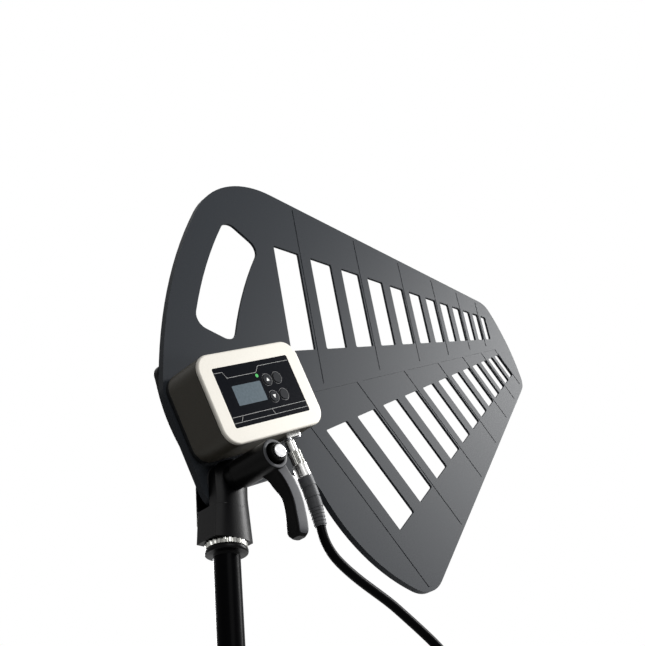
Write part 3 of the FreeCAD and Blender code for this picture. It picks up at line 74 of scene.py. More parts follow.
def make_camera():
    data = bpy.data.cameras.new("camera")
    data.sensor_width = SENSOR
    data.sensor_fit = "HORIZONTAL"
    data.lens = FOCAL_PIXELS / IMAGE_WIDTH * SENSOR
    data.clip_start = NEAR_CLIP
    camera = bpy.data.objects.new("camera", data)
    bpy.context.scene.collection.objects.link(camera)
    level = math.cos(CAMERA_ELEVATION)
    ahead = Vector((
        level * math.sin(CAMERA_AZIMUTH),
        level * math.cos(CAMERA_AZIMUTH),
        math.sin(CAMERA_ELEVATION)))
    side = ahead.cross(Vector((0, 0, 1))).normalized()
    above = side.cross(ahead)
    right = side * math.cos(CAMERA_ROLL) + above * math.sin(CAMERA_ROLL)
    up = right.cross(ahead)
    turn = Matrix((right, up, -ahead)).transposed()
    camera.matrix_world = Matrix.Translation(at(*CAMERA_PLACE)) @ turn.to_4x4()
    bpy.context.scene.camera = camera


make_camera()

# Lead: one smooth line from the boot, out of the view, into a tied coil

LEAD_SIZE = 6.15
LEAD_ROUTE = [
    (58.92, -18.0, 88.12),
    (60.0, -18.0, 82.3),
    (62.9, -18.0, 76.2),
    (67.8, -18.0, 70.3),
    (76.0, -18.0, 64.6),
    (87.4, -18.0, 58.6),
    (99.0, -18.2, 53.4),
    (111.2, -18.6, 47.8),
    (122.4, -19.2, 40.8),
    (133.4, -20.0, 33.6),
    (144.8, -21.2, 25.2),
    (155.4, -23.2, 14.0),
    (164.0, -26.4, -0.5),
    (170.6, -30.0, -15.5),
    (173.4, -32.77, -31.0),
]
LINE_RESOLUTION = 6
ROUND_RESOLUTION = 5
COIL_CENTRE = (215.05, -42.0, -45.0)
COIL_RADIUS = 35.5
COIL_LAYERS = 3
COIL_ROWS = 4
TURN_POINTS = 24
CROSSING_SHARE = 0.14
FAR_ROUTE = [
    (173.9, -57.6, -56.5),
    (176.9, -58.8, -67.5),
    (181.6, -59.4, -74.6),
    (186.92, -59.4, -76.34),
]


def coil_points():
    """Turns of the tied coil, each a lead's width from the next, with one crossing near the tie."""
    points = []
    outer = COIL_RADIUS + (COIL_LAYERS - 1) * LEAD_SIZE / 2
    back = COIL_CENTRE[1] + (COIL_ROWS - 1) * LEAD_SIZE / 2
    layer = 0
    row = 0
    inward = 1
    for turn in range(COIL_LAYERS * COIL_ROWS):
        next_layer = layer + inward
        next_row = row
        if not 0 <= next_layer < COIL_LAYERS:
            next_layer = layer
            next_row = row + 1
            inward = -inward
        for step in range(TURN_POINTS):
            share = step / TURN_POINTS
            late = max(0.0, (share - 1 + CROSSING_SHARE) / CROSSING_SHARE)
            ease = late * late * (3 - 2 * late)
            radius = outer - LEAD_SIZE * (layer + (next_layer - layer) * ease)
            depth = back - LEAD_SIZE * (row + (next_row - row) * ease)
            angle = math.pi + 2 * math.pi * share
            points.append((
                COIL_CENTRE[0] + radius * math.cos(angle),
                depth,
                COIL_CENTRE[2] + radius * math.sin(angle)))
        layer = next_layer
        row = next_row
    return points


def line_length(curve):
    """Length of a curve that has no thickness yet."""
    mesh = bpy.data.meshes.new_from_object(curve)
    points = [vertex.co for vertex in mesh.vertices]
    return sum((after - before).length for before, after in zip(points, points[1:]))


def make_lead():
    """The lead's thickness is each point's radius, because a curve's bounds count it in metres."""
    route = [at(*point) for point in LEAD_ROUTE + coil_points() + FAR_ROUTE]
    data = bpy.data.curves.new("lead_cord", "CURVE")
    data.dimensions = "3D"
    spline = data.splines.new("NURBS")
    spline.points.add(len(route) - 1)
    for point, place in zip(spline.points, route):
        point.co = (*place, 1.0)
        point.radius = LEAD_SIZE / 2 * MM
    spline.order_u = 3
    spline.use_endpoint_u = True
    data.resolution_u = LINE_RESOLUTION
    cord = bpy.data.objects.new("lead_cord", data)
    bpy.context.scene.collection.objects.link(cord)
    length = line_length(cord)
    data.bevel_depth = 1.0
    data.bevel_resolution = ROUND_RESOLUTION
    data.use_fill_caps = True
    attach(cord, "antenna")
    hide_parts("lead", "lead_coil")
    return cord


LEAD = make_lead()

# Stage and light

FLOOR_HEIGHT = -0.42
FLOOR_SIZE = 6.0
WHITE = (1.0, 1.0, 1.0, 1.0)
WORLD_LIGHT = 0.1
FLOOR_BOUNCE = 0.15
FLOOR_PALE = 0.5
FLOOR_GLOW = 0.5
# Lamps: name, place, target, size and watts
LAMPS = [
    ("key", (1.66, -0.84, 1.14), (0.2, 0.0, 0.17), 0.5, 58.0),
    ("edge", (1.1, -0.44, 0.42), (0.0, 0.0, 0.09), 0.24, 8.0),
    ("fill", (-0.7, -2.2, 0.9), (0.05, 0.0, 0.17), 1.4, 28.0),
    ("back", (0.6, 2.3, 0.9), (0.1, 0.0, 0.17), 1.4, 90.0),
]


def seen_directly(tree):
    """1 for rays from the camera, and for those that mirrors and glass pass on, and otherwise 0."""
    path = tree.nodes.new("ShaderNodeLightPath")
    seen = path.outputs["Is Camera Ray"]
    for kind in ("Is Glossy Ray", "Is Transmission Ray"):
        either = tree.nodes.new("ShaderNodeMath")
        either.operation = "MAXIMUM"
        tree.links.new(seen, either.inputs[0])
        tree.links.new(path.outputs[kind], either.inputs[1])
        seen = either.outputs[0]
    return seen


def make_world():
    """White to look at, and a faint even light on the object."""
    world = bpy.data.worlds.new("studio")
    world.use_nodes = True
    tree = world.node_tree
    tree.nodes.clear()
    output = tree.nodes.new("ShaderNodeOutputWorld")
    soft = tree.nodes.new("ShaderNodeBackground")
    soft.inputs["Color"].default_value = WHITE
    soft.inputs["Strength"].default_value = WORLD_LIGHT
    backdrop = tree.nodes.new("ShaderNodeBackground")
    backdrop.inputs["Color"].default_value = WHITE
    backdrop.inputs["Strength"].default_value = 1.0
    mix = tree.nodes.new("ShaderNodeMixShader")
    tree.links.new(seen_directly(tree), mix.inputs[0])
    tree.links.new(soft.outputs[0], mix.inputs[1])
    tree.links.new(backdrop.outputs[0], mix.inputs[2])
    tree.links.new(mix.outputs[0], output.inputs["Surface"])
    bpy.context.scene.world = world


def matt_surface(tree, shade):
    matt = tree.nodes.new("ShaderNodeBsdfDiffuse")
    matt.inputs["Color"].default_value = (shade, shade, shade, 1.0)
    return matt.outputs[0]


def make_floor():
    """Pale floor that keeps the shadow and throws little light back up."""
    mesh = bpy.data.meshes.new("floor")
    half = FLOOR_SIZE / 2
    corners = [(-half, -half, FLOOR_HEIGHT), (half, -half, FLOOR_HEIGHT),
               (half, half, FLOOR_HEIGHT), (-half, half, FLOOR_HEIGHT)]
    mesh.from_pydata(corners, [], [(0, 1, 2, 3)])
    floor = bpy.data.objects.new("floor", mesh)
    bpy.context.scene.collection.objects.link(floor)
    material = bpy.data.materials.new("floor")
    material.use_nodes = True
    tree = material.node_tree
    tree.nodes.clear()
    output = tree.nodes.new("ShaderNodeOutputMaterial")
    mix = tree.nodes.new("ShaderNodeMixShader")
    tree.links.new(seen_directly(tree), mix.inputs[0])
    tree.links.new(matt_surface(tree, FLOOR_BOUNCE), mix.inputs[1])
    glow = tree.nodes.new("ShaderNodeEmission")
    glow.inputs["Strength"].default_value = FLOOR_GLOW
    both = tree.nodes.new("ShaderNodeAddShader")
    tree.links.new(matt_surface(tree, FLOOR_PALE), both.inputs[0])
    tree.links.new(glow.outputs[0], both.inputs[1])
    tree.links.new(both.outputs[0], mix.inputs[2])
    tree.links.new(mix.outputs[0], output.inputs["Surface"])
    mesh.materials.append(material)


def add_lamp(name, place, target, size, watts):
    data = bpy.data.lights.new(name, "AREA")
    data.shape = "DISK"
    data.size = size
    data.energy = watts
    lamp = bpy.data.objects.new(name, data)
    bpy.context.scene.collection.objects.link(lamp)
    turn = (Vector(target) - Vector(place)).to_track_quat("-Z", "Y").to_matrix()
    lamp.matrix_world = Matrix.Translation(Vector(place)) @ turn.to_4x4()


def make_lamps():
    """A key from the right that shines along the board, a small edge lamp, a weak fill, and one behind."""
    for lamp in LAMPS:
        add_lamp(*lamp)


make_world()
make_floor()
make_lamps()
bpy.context.scene.view_settings.view_transform = "Standard"

# Materials

TINT_DETAIL = 4.0
TINT_FROM = 0.35
TINT_TO = 0.65
GRAIN_DETAIL = 3.0


def srgb(red, green, blue):
    """Linear colour from 0 to 255 values."""
    channels = []
    for value in (red, green, blue):
        share = value / 255
        channels.append(share / 12.92 if share <= 0.04045 else ((share + 0.055) / 1.055) ** 2.4)
    return (*channels, 1.0)


def new_material(name, colour, roughness, metallic=0.0, specular=0.5, coat=0.0):
    material = bpy.data.materials.new(name)
    material.use_nodes = True
    shader = material.node_tree.nodes["Principled BSDF"]
    shader.inputs["Base Color"].default_value = colour
    shader.inputs["Roughness"].default_value = roughness
    shader.inputs["Metallic"].default_value = metallic
    shader.inputs["Specular IOR Level"].default_value = specular
    shader.inputs["Coat Weight"].default_value = coat
    return material, shader


def noise_over(tree, scale, detail):
    """Noise over the object's own coordinates."""
    coordinates = tree.nodes.new("ShaderNodeTexCoord")
    noise = tree.nodes.new("ShaderNodeTexNoise")
    noise.inputs["Scale"].default_value = scale
    noise.inputs["Detail"].default_value = detail
    tree.links.new(coordinates.outputs["Object"], noise.inputs["Vector"])
    return noise.outputs["Fac"]


def tint_by_noise(material, shader, dark, light, scale):
    """Small uneven changes of colour over the surface."""
    tree = material.node_tree
    ramp = tree.nodes.new("ShaderNodeValToRGB")
    for element, place, colour in zip(ramp.color_ramp.elements, (TINT_FROM, TINT_TO), (dark, light)):
        element.position = place
        element.color = colour
    tree.links.new(noise_over(tree, scale, TINT_DETAIL), ramp.inputs["Fac"])
    tree.links.new(ramp.outputs["Color"], shader.inputs["Base Color"])


def roughen(material, shader, low, high, scale):
    """Uneven gloss."""
    tree = material.node_tree
    span = tree.nodes.new("ShaderNodeMapRange")
    span.inputs["To Min"].default_value = low
    span.inputs["To Max"].default_value = high
    tree.links.new(noise_over(tree, scale, GRAIN_DETAIL), span.inputs["Value"])
    tree.links.new(span.outputs["Result"], shader.inputs["Roughness"])


def emboss(material, shader, scale, strength, distance):
    """Fine moulded or sprayed grain."""
    tree = material.node_tree
    bump = tree.nodes.new("ShaderNodeBump")
    bump.inputs["Strength"].default_value = strength
    bump.inputs["Distance"].default_value = distance
    tree.links.new(noise_over(tree, scale, GRAIN_DETAIL), bump.inputs["Height"])
    tree.links.new(bump.outputs["Normal"], shader.inputs["Normal"])


def board_material():
    """Dark grey moulded board with a fine texture."""
    material, shader = new_material("board_plastic", srgb(39, 42, 46), roughness=0.44, specular=0.035)
    tint_by_noise(material, shader, srgb(37, 40, 44), srgb(41, 44, 48), scale=1200.0)
    roughen(material, shader, low=0.43, high=0.46, scale=500.0)
    emboss(material, shader, scale=2600.0, strength=0.05, distance=0.0001)
    return material


def black_coat_material():
    material, shader = new_material("black_coat", srgb(4, 4, 5), roughness=0.32, specular=0.05)
    tint_by_noise(material, shader, srgb(3, 3, 4), srgb(6, 6, 7), scale=900.0)
    emboss(material, shader, scale=1800.0, strength=0.15, distance=0.0002)
    return material


def tube_material():
    material, shader = new_material("tube_coat", srgb(3, 3, 4), roughness=0.3, specular=0.012)
    tint_by_noise(material, shader, srgb(2, 2, 3), srgb(4, 4, 5), scale=900.0)
    emboss(material, shader, scale=1800.0, strength=0.1, distance=0.0001)
    return material


def rubber_material():
    material, shader = new_material("rubber", srgb(20, 21, 22), roughness=0.6, specular=0.1)
    tint_by_noise(material, shader, srgb(18, 19, 20), srgb(24, 25, 26), scale=150.0)
    emboss(material, shader, scale=1500.0, strength=0.1, distance=0.0002)
    return material


# Painted sheen: a lighter grey copy of the black rubber, standing in for the soft highlight on the plug
# boot's top.
def boot_painted_sheen_material():
    material, shader = new_material("boot_rubber_painted_sheen", srgb(72, 73, 75), roughness=0.5, specular=0.12)
    tint_by_noise(material, shader, srgb(68, 69, 71), srgb(76, 77, 79), scale=500.0)
    roughen(material, shader, low=0.45, high=0.55, scale=400.0)
    return material


def jacket_material():
    material, shader = new_material("lead_jacket", srgb(4, 4, 5), roughness=0.36, specular=0.015)
    tint_by_noise(material, shader, srgb(3, 3, 4), srgb(5, 5, 6), scale=600.0)
    roughen(material, shader, low=0.3, high=0.38, scale=400.0)
    return material


def box_material():
    material, shader = new_material("bronze_coat", srgb(60, 57, 50), roughness=0.42, specular=0.1)
    tint_by_noise(material, shader, srgb(58, 55, 48), srgb(62, 59, 52), scale=1200.0)
    emboss(material, shader, scale=2200.0, strength=0.08, distance=0.0002)
    return material


def bezel_material():
    material, shader = new_material("champagne_coat", srgb(214, 210, 200), roughness=0.42, specular=0.2)
    tint_by_noise(material, shader, srgb(212, 208, 198), srgb(217, 213, 204), scale=1400.0)
    emboss(material, shader, scale=2200.0, strength=0.06, distance=0.0002)
    return material


def panel_material():
    material, shader = new_material("panel_gloss", srgb(8, 10, 16), roughness=0.24, specular=0.015)
    tint_by_noise(material, shader, srgb(8, 10, 16), srgb(11, 13, 18), scale=900.0)
    roughen(material, shader, low=0.2, high=0.28, scale=600.0)
    return material


def window_material():
    material, shader = new_material("display_lens", srgb(76, 91, 100), roughness=0.25, specular=0.2)
    tint_by_noise(material, shader, srgb(66, 80, 88), srgb(73, 87, 96), scale=600.0)
    return material


def display_material():
    material, shader = new_material("display_body", srgb(66, 77, 85), roughness=0.5)
    tint_by_noise(material, shader, srgb(62, 73, 81), srgb(70, 81, 89), scale=50.0)
    return material


def circuit_material():
    material, shader = new_material("solder_mask", srgb(20, 86, 48), roughness=0.35)
    tint_by_noise(material, shader, srgb(16, 78, 42), srgb(24, 94, 54), scale=90.0)
    return material


def inner_material():
    material, shader = new_material("inner_plastic", srgb(34, 34, 35), roughness=0.5)
    tint_by_noise(material, shader, srgb(31, 31, 32), srgb(38, 38, 39), scale=120.0)
    return material


def insulator_material():
    material, shader = new_material("white_insulator", srgb(225, 225, 220), roughness=0.5)
    tint_by_noise(material, shader, srgb(220, 220, 214), srgb(230, 230, 226), scale=120.0)
    return material


def contact_material():
    material, shader = new_material("gold_contact", srgb(214, 176, 96), roughness=0.25, metallic=1.0)
    roughen(material, shader, low=0.2, high=0.32, scale=400.0)
    return material


def plated_material():
    material, shader = new_material("nickel_plate", srgb(190, 190, 188), roughness=0.24, metallic=1.0)
    roughen(material, shader, low=0.2, high=0.27, scale=900.0)
    return material


def screw_material():
    material, shader = new_material("screw_steel", srgb(120, 121, 124), roughness=0.3, metallic=1.0)
    roughen(material, shader, low=0.24, high=0.4, scale=300.0)
    return material


def bright_material():
    material, shader = new_material("bright_nickel", srgb(214, 214, 216), roughness=0.16, metallic=1.0)
    roughen(material, shader, low=0.12, high=0.24, scale=300.0)
    return material


def led_material():
    material, shader = new_material("status_green", srgb(34, 150, 62), roughness=0.2, coat=0.3)
    tint_by_noise(material, shader, srgb(28, 140, 56), srgb(42, 160, 70), scale=500.0)
    shader.inputs["Emission Color"].default_value = srgb(70, 220, 100)
    shader.inputs["Emission Strength"].default_value = 0.15
    return material


def tie_material():
    """Woven hook and loop strap."""
    material, shader = new_material("strap_weave", srgb(22, 22, 23), roughness=0.85, specular=0.2)
    tree = material.node_tree
    coordinates = tree.nodes.new("ShaderNodeTexCoord")
    weave = tree.nodes.new("ShaderNodeTexWave")
    weave.inputs["Scale"].default_value = 900.0
    weave.inputs["Distortion"].default_value = 2.0
    bump = tree.nodes.new("ShaderNodeBump")
    bump.inputs["Strength"].default_value = 0.4
    bump.inputs["Distance"].default_value = 0.0002
    tree.links.new(coordinates.outputs["Object"], weave.inputs["Vector"])
    tree.links.new(weave.outputs["Fac"], bump.inputs["Height"])
    tree.links.new(bump.outputs["Normal"], shader.inputs["Normal"])
    return material


def lever_material():
    material, shader = new_material("lever_plastic", srgb(5, 5, 5), roughness=0.36, specular=0.04)
    tint_by_noise(material, shader, srgb(4, 4, 4), srgb(7, 7, 7), scale=900.0)
    emboss(material, shader, scale=1600.0, strength=0.12, distance=0.0002)
    return material


# Painted sheen: a lighter grey copy of the black lever plastic, standing in for the soft highlight on the
# arm's flat front face and the hub's front rim.
def lever_painted_sheen_material():
    material, shader = new_material("lever_painted_sheen", srgb(62, 63, 66), roughness=0.42, specular=0.1)
    tint_by_noise(material, shader, srgb(59, 60, 63), srgb(65, 66, 69), scale=1100.0)
    roughen(material, shader, low=0.38, high=0.46, scale=500.0)
    return material


def lock_ring_material():
    material, shader = new_material("lock_ring_metal", srgb(150, 150, 146), roughness=0.22, metallic=1.0)
    tint_by_noise(material, shader, srgb(138, 138, 134), srgb(158, 158, 154), scale=800.0)
    roughen(material, shader, low=0.16, high=0.3, scale=500.0)
    return material


def key_material():
    material, shader = new_material("key_tops", srgb(18, 20, 24), roughness=0.36, specular=0.03)
    tint_by_noise(material, shader, srgb(20, 22, 26), srgb(24, 26, 30), scale=900.0)
    return material


MATERIALS = {
    "board": board_material(),
    "bracket": black_coat_material(),
    "tube": tube_material(),
    "rubber": rubber_material(),
    "boot": boot_painted_sheen_material(),
    "box": box_material(),
    "bezel": bezel_material(),
    "panel": panel_material(),
    "window": window_material(),
    "display": display_material(),
    "circuit": circuit_material(),
    "inner_plastic": inner_material(),
    "plated": plated_material(),
    "insulator": insulator_material(),
    "contact": contact_material(),
    "screws": screw_material(),
    "led": led_material(),
    "lead": jacket_material(),
    "tie": tie_material(),
    "lever": lever_material(),
    "lever_painted_sheen": lever_painted_sheen_material(),
    "bright": bright_material(),
    "lock_ring": lock_ring_material(),
    "keys": key_material(),
}


def dress_nodes():
    """Gives every node of the frame the material of its slot, the plug boot a lighter rubber as painted
    sheen, and the coupling nut the lock ring's metal.
    """
    for subpart in frame["record"]["subparts"]:
        node = NODES[subpart["node"]]
        node.data.materials.clear()
        node.data.materials.append(MATERIALS[subpart["material_slot"]])
    # The boot's lighter grey is painted sheen.
    NODES["plug_boot"].data.materials[0] = MATERIALS["boot"]
    NODES["coupling_nut"].data.materials[0] = MATERIALS["lock_ring"]


dress_nodes()
LEAD.data.materials.append(MATERIALS["lead"])

# Shared mesh work

EDGE_SEGMENTS = 3
SHARP_ANGLE = 35.0


def new_mesh(name, points, faces, material):
    mesh = bpy.data.meshes.new(name)
    mesh.from_pydata(points, [], faces)
    mesh.update()
    piece = bpy.data.objects.new(name, mesh)
    bpy.context.scene.collection.objects.link(piece)
    mesh.materials.append(material)
    return piece


def finish_solid(piece, width, angle=SHARP_ANGLE):
    """Rounds a solid's sharp edges where a width is given, and shades it smooth."""
    if width > 0:
        bevel = piece.modifiers.new("round", "BEVEL")
        bevel.width = width * MM
        bevel.segments = EDGE_SEGMENTS
        bevel.limit_method = "ANGLE"
        bevel.angle_limit = math.radians(angle)
        bevel.harden_normals = False
    for polygon in piece.data.polygons:
        polygon.use_smooth = True
    weighted = piece.modifiers.new("even", "WEIGHTED_NORMAL")
    weighted.keep_sharp = True


def cut_away(piece, tool):
    """Takes one closed mesh out of another."""
    cut = piece.modifiers.new("cut", "BOOLEAN")
    cut.operation = "DIFFERENCE"
    cut.solver = "EXACT"
    cut.object = tool
    evaluated = piece.evaluated_get(bpy.context.evaluated_depsgraph_get())
    with_cut = bpy.data.meshes.new_from_object(evaluated)
    piece.modifiers.clear()
    piece.data = with_cut
    bpy.data.objects.remove(tool)


def face_outward(piece):
    build = bmesh.new()
    build.from_mesh(piece.data)
    bmesh.ops.recalc_face_normals(build, faces=build.faces[:])
    build.to_mesh(piece.data)
    build.free()


def lofted(rings, joined=False):
    """Skin over rings with equal counts, with flat ends or with the last ring joined to the first."""
    count = len(rings[0])
    points = [spot for ring in rings for spot in ring]
    faces = []
    for level in range(len(rings) if joined else len(rings) - 1):
        low = level * count
        high = (level + 1) % len(rings) * count
        for index in range(count):
            following = (index + 1) % count
            faces.append((low + index, low + following, high + following, high + index))
    if not joined:
        faces.append(tuple(reversed(range(count))))
        faces.append(tuple(range(len(points) - count, len(points))))
    return points, faces


def full_turn(count):
    """Angles evenly spaced round a circle, in radians."""
    return [2 * math.pi * index / count for index in range(count)]


def lathed(profile, sides, place):
    """Skin of a closed profile of (radius, height) turned round an axis."""
    rings = []
    for turn in full_turn(sides):
        rings.append([place(radius, turn, height) for radius, height in profile])
    return lofted(rings, joined=True)


def spread(low, high, steps):
    """Evenly spaced values, both ends included."""
    return [low + (high - low) * step / steps for step in range(steps + 1)]


def arc_points(centre, radius, turn_from, turn_to, steps):
    """Points on a circle, angles in degrees, both ends included."""
    line = []
    for degrees in spread(turn_from, turn_to, steps):
        turn = math.radians(degrees)
        line.append((centre[0] + radius * math.cos(turn), centre[1] + radius * math.sin(turn)))
    return line


# Tilt plate: upright plate with a bulging rear edge and an ear round the tilt axis

BOARD_DEPTH = 4.8
PLATE_BACK = 9.8
EAR_RADIUS = 12.6
PLATE_REAR_RADIUS = 110.0
PLATE_REAR_BULGE = 1.25
PLATE_REAR_CENTRE_Z = 46.8
PLATE_FRONT_X = 45.0
PLATE_LOW_Z = 11.1
PLATE_HIGH_Z = 82.1
PLATE_CORNER = 7.0
PLATE_EDGE = 0.8
EAR_STEPS = 28
CORNER_STEPS = 10
REAR_STEPS = 16


def rear_turn(z):
    """Angle in degrees at which the arc of the rear edge reaches a height."""
    return 180.0 - math.degrees(math.asin((z - PLATE_REAR_CENTRE_Z) / PLATE_REAR_RADIUS))


def plate_outline():
    """Outline in the antenna's frame, from the ear's left side round by the front."""
    near_x = EAR_RADIUS + PLATE_CORNER
    far_x = PLATE_FRONT_X - PLATE_CORNER
    low_z = PLATE_LOW_Z + PLATE_CORNER
    high_z = PLATE_HIGH_Z - PLATE_CORNER
    rear_x = PLATE_REAR_RADIUS - EAR_RADIUS - PLATE_REAR_BULGE
    high_turn = rear_turn(high_z)
    inner = PLATE_REAR_RADIUS - PLATE_CORNER
    rear_corner = (rear_x + inner * math.cos(math.radians(high_turn)), high_z)
    line = arc_points((0.0, 0.0), EAR_RADIUS, 180.0, 360.0, EAR_STEPS)
    line.extend(arc_points((near_x, PLATE_LOW_Z - PLATE_CORNER), PLATE_CORNER, 180.0, 90.0, CORNER_STEPS))
    line.extend(arc_points((far_x, low_z), PLATE_CORNER, -90.0, 0.0, CORNER_STEPS))
    line.extend(arc_points((far_x, high_z), PLATE_CORNER, 0.0, 90.0, CORNER_STEPS))
    line.extend(arc_points(rear_corner, PLATE_CORNER, 90.0, high_turn, CORNER_STEPS))
    rear_centre = (rear_x, PLATE_REAR_CENTRE_Z)
    rear = arc_points(rear_centre, PLATE_REAR_RADIUS, high_turn, rear_turn(low_z), REAR_STEPS)
    line.extend(rear[1:])
    return line


def make_tilt_plate():
    outline = plate_outline()
    rings = [[on_antenna(x, depth, z) for x, z in outline] for depth in (BOARD_DEPTH, PLATE_BACK)]
    points, faces = lofted(rings)
    plate = new_mesh("tilt_plate_form", points, faces, MATERIALS["bracket"])
    finish_solid(plate, PLATE_EDGE)
    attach(plate, "antenna")
    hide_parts("tilt_plate")


make_tilt_plate()

# Bracket: a body with a bulging front, a round knuckle and a thin cheek behind the tilt plate

HOUSING_FRONT = -11.0
HOUSING_REAR = 10.0
HOUSING_FOOT_Z = 72.6
HOUSING_FOOT_HALF = 13.7
HOUSING_WAIST_Z = 99.0
HOUSING_WAIST_HALF = 11.6
KNUCKLE_RADIUS = 12.0
LAP_FRONT = -1.3
LAP_FLOOR = 92.8
CHEEK_FRONT = 10.95
CHEEK_BACK = 12.35
CHEEK_FLOOR = LAP_FLOOR - 8.0
CHEEK_RADIUS = KNUCKLE_RADIUS - 0.4
CHEEK_EDGE = 0.5
CHEEK_STEPS = 32
FRONT_BULGE = 3.2
FRONT_SQUARENESS = 2.4
FRONT_STEPS = 14
LEAST_HALF = 0.6
TOP_TRIM = 0.02
BODY_STEPS = 6
LAP_STEPS = 5
KNUCKLE_STEPS = 12
HOUSING_EDGE = 0.9
HOUSING_SHARP_ANGLE = 40.0


def housing_half_width(z):
    """Half the width of the bracket seen from the front: narrow at the waist, round at the knuckle."""
    if z <= HOUSING_WAIST_Z:
        share = (z - HOUSING_FOOT_Z) / (HOUSING_WAIST_Z - HOUSING_FOOT_Z)
        return HOUSING_FOOT_HALF + (HOUSING_WAIST_HALF - HOUSING_FOOT_HALF) * share
    if z <= AXIS_HEIGHT:
        share = (z - HOUSING_WAIST_Z) / (AXIS_HEIGHT - HOUSING_WAIST_Z)
        return HOUSING_WAIST_HALF + (KNUCKLE_RADIUS - HOUSING_WAIST_HALF) * share
    return math.sqrt(max(0.0, KNUCKLE_RADIUS ** 2 - (z - AXIS_HEIGHT) ** 2))


def housing_section(z, back):
    """Level section: flat back and sides, and a front that bulges between its corners."""
    half = max(LEAST_HALF, housing_half_width(z))
    shoulder = HOUSING_FRONT + FRONT_BULGE
    line = [(half, back), (-half, back)]
    for share in spread(-1.0, 1.0, FRONT_STEPS):
        bulge = FRONT_BULGE * (1 - abs(share) ** FRONT_SQUARENESS)
        line.append((half * share, shoulder - bulge))
    return [at(x, y, z) for x, y in line]


def make_housing():
    lap = spread(LAP_FLOOR, AXIS_HEIGHT, LAP_STEPS)
    for turn in spread(0.0, math.pi / 2, KNUCKLE_STEPS)[1:]:
        lap.append(AXIS_HEIGHT + KNUCKLE_RADIUS * math.sin(turn))
    lap[-1] -= TOP_TRIM
    rings = [housing_section(z, HOUSING_REAR) for z in spread(HOUSING_FOOT_Z, LAP_FLOOR, BODY_STEPS)]
    rings.extend(housing_section(z, LAP_FRONT) for z in lap)
    points, faces = lofted(rings)
    housing = new_mesh("bracket_form", points, faces, MATERIALS["bracket"])
    finish_solid(housing, HOUSING_EDGE, HOUSING_SHARP_ANGLE)
    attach(housing, "bracket")
    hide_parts("bracket_housing")


def make_cheek():
    outline = [(-HOUSING_WAIST_HALF, CHEEK_FLOOR), (HOUSING_WAIST_HALF, CHEEK_FLOOR)]
    outline.extend(arc_points((0.0, AXIS_HEIGHT), CHEEK_RADIUS, 0.0, 180.0, CHEEK_STEPS))
    rings = [[at(x, depth, z) for x, z in outline] for depth in (CHEEK_FRONT, CHEEK_BACK)]
    points, faces = lofted(rings)
    cheek = new_mesh("bracket_cheek", points, faces, MATERIALS["bracket"])
    finish_solid(cheek, CHEEK_EDGE)
    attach(cheek, "bracket")


make_housing()
make_cheek()

# Clamp lever: a hub with a recess round its cap, and an arm with a flat front face

# Sections of the arm: X and Z from the tilt axis, width, and how far its rear and its face stand out
LEVER_SECTIONS = [
    (1.0, -1.5, 13.0, 30.0, 46.0),
    (6.2, -7.6, 9.0, 35.0, 47.4),
    (10.9, -13.9, 8.8, 36.6, 47.8),
    (13.9, -19.9, 8.8, 38.8, 48.0),
    (15.8, -25.4, 8.9, 38.9, 48.0),
    (17.0, -32.0, 9.0, 38.6, 48.0),
    (17.8, -38.4, 8.8, 37.6, 48.0),
    (18.1, -42.6, 8.2, 37.4, 47.6),
    (18.2, -45.4, 5.2, 39.4, 46.2),
]
LEVER_STEPS = 6
LEVER_ROUND = 1.5
LEVER_CORNER_STEPS = 5
RECESS_RADIUS = 6.6
RECESS_FLOOR = -45.6
# Radius and depth along the tilt axis
HUB_PROFILE = [
    (4.3, -17.1), (8.2, -17.1), (8.8, -17.3), (9.0, -17.9), (9.0, -48.2), (8.8, -48.8), (8.3, -49.1),
    (7.1, -49.1), (6.7, -48.9), (6.6, -48.5), (RECESS_RADIUS, RECESS_FLOOR), (5.4, RECESS_FLOOR),
    (5.4, -51.7), (5.2, -52.1), (4.3, -52.1), (4.1, -51.9), (4.1, -44.0), (4.3, -43.8)]
HUB_SIDES = 96
ROOM_CORE = 0.05
ROOM_RADIUS = RECESS_RADIUS + 0.5
ROOM_FRONT = -60.0
ROOM_PROFILE = [
    (ROOM_CORE, RECESS_FLOOR), (ROOM_RADIUS, RECESS_FLOOR),
    (ROOM_RADIUS, ROOM_FRONT), (ROOM_CORE, ROOM_FRONT)]
ROOM_SIDES = 64
# Where the painted sheen goes: arm faces deeper than this depth and turned to the front, and hub rim faces
# turned to the front.
SHEEN_FACE_DEPTH = -46.9
ARM_SHEEN_NORMAL = -0.9
HUB_SHEEN_NORMAL = -0.6


def smooth_row(before, near, far, beyond, share):
    """Catmull-Rom values between two rows of numbers."""
    row = []
    for a, b, c, d in zip(before, near, far, beyond):
        row.append(0.5 * (2 * b + (c - a) * share + (2 * a - 5 * b + 4 * c - d) * share ** 2
                          + (3 * b - a - 3 * c + d) * share ** 3))
    return row


def lever_rows():
    """Sections close together along the arm."""
    rows = []
    last = len(LEVER_SECTIONS) - 1
    for index in range(last):
        near, far = LEVER_SECTIONS[index], LEVER_SECTIONS[index + 1]
        before = LEVER_SECTIONS[max(index - 1, 0)]
        beyond = LEVER_SECTIONS[min(index + 2, last)]
        for step in range(LEVER_STEPS):
            rows.append(smooth_row(before, near, far, beyond, step / LEVER_STEPS))
    rows.append(list(LEVER_SECTIONS[-1]))
    return rows


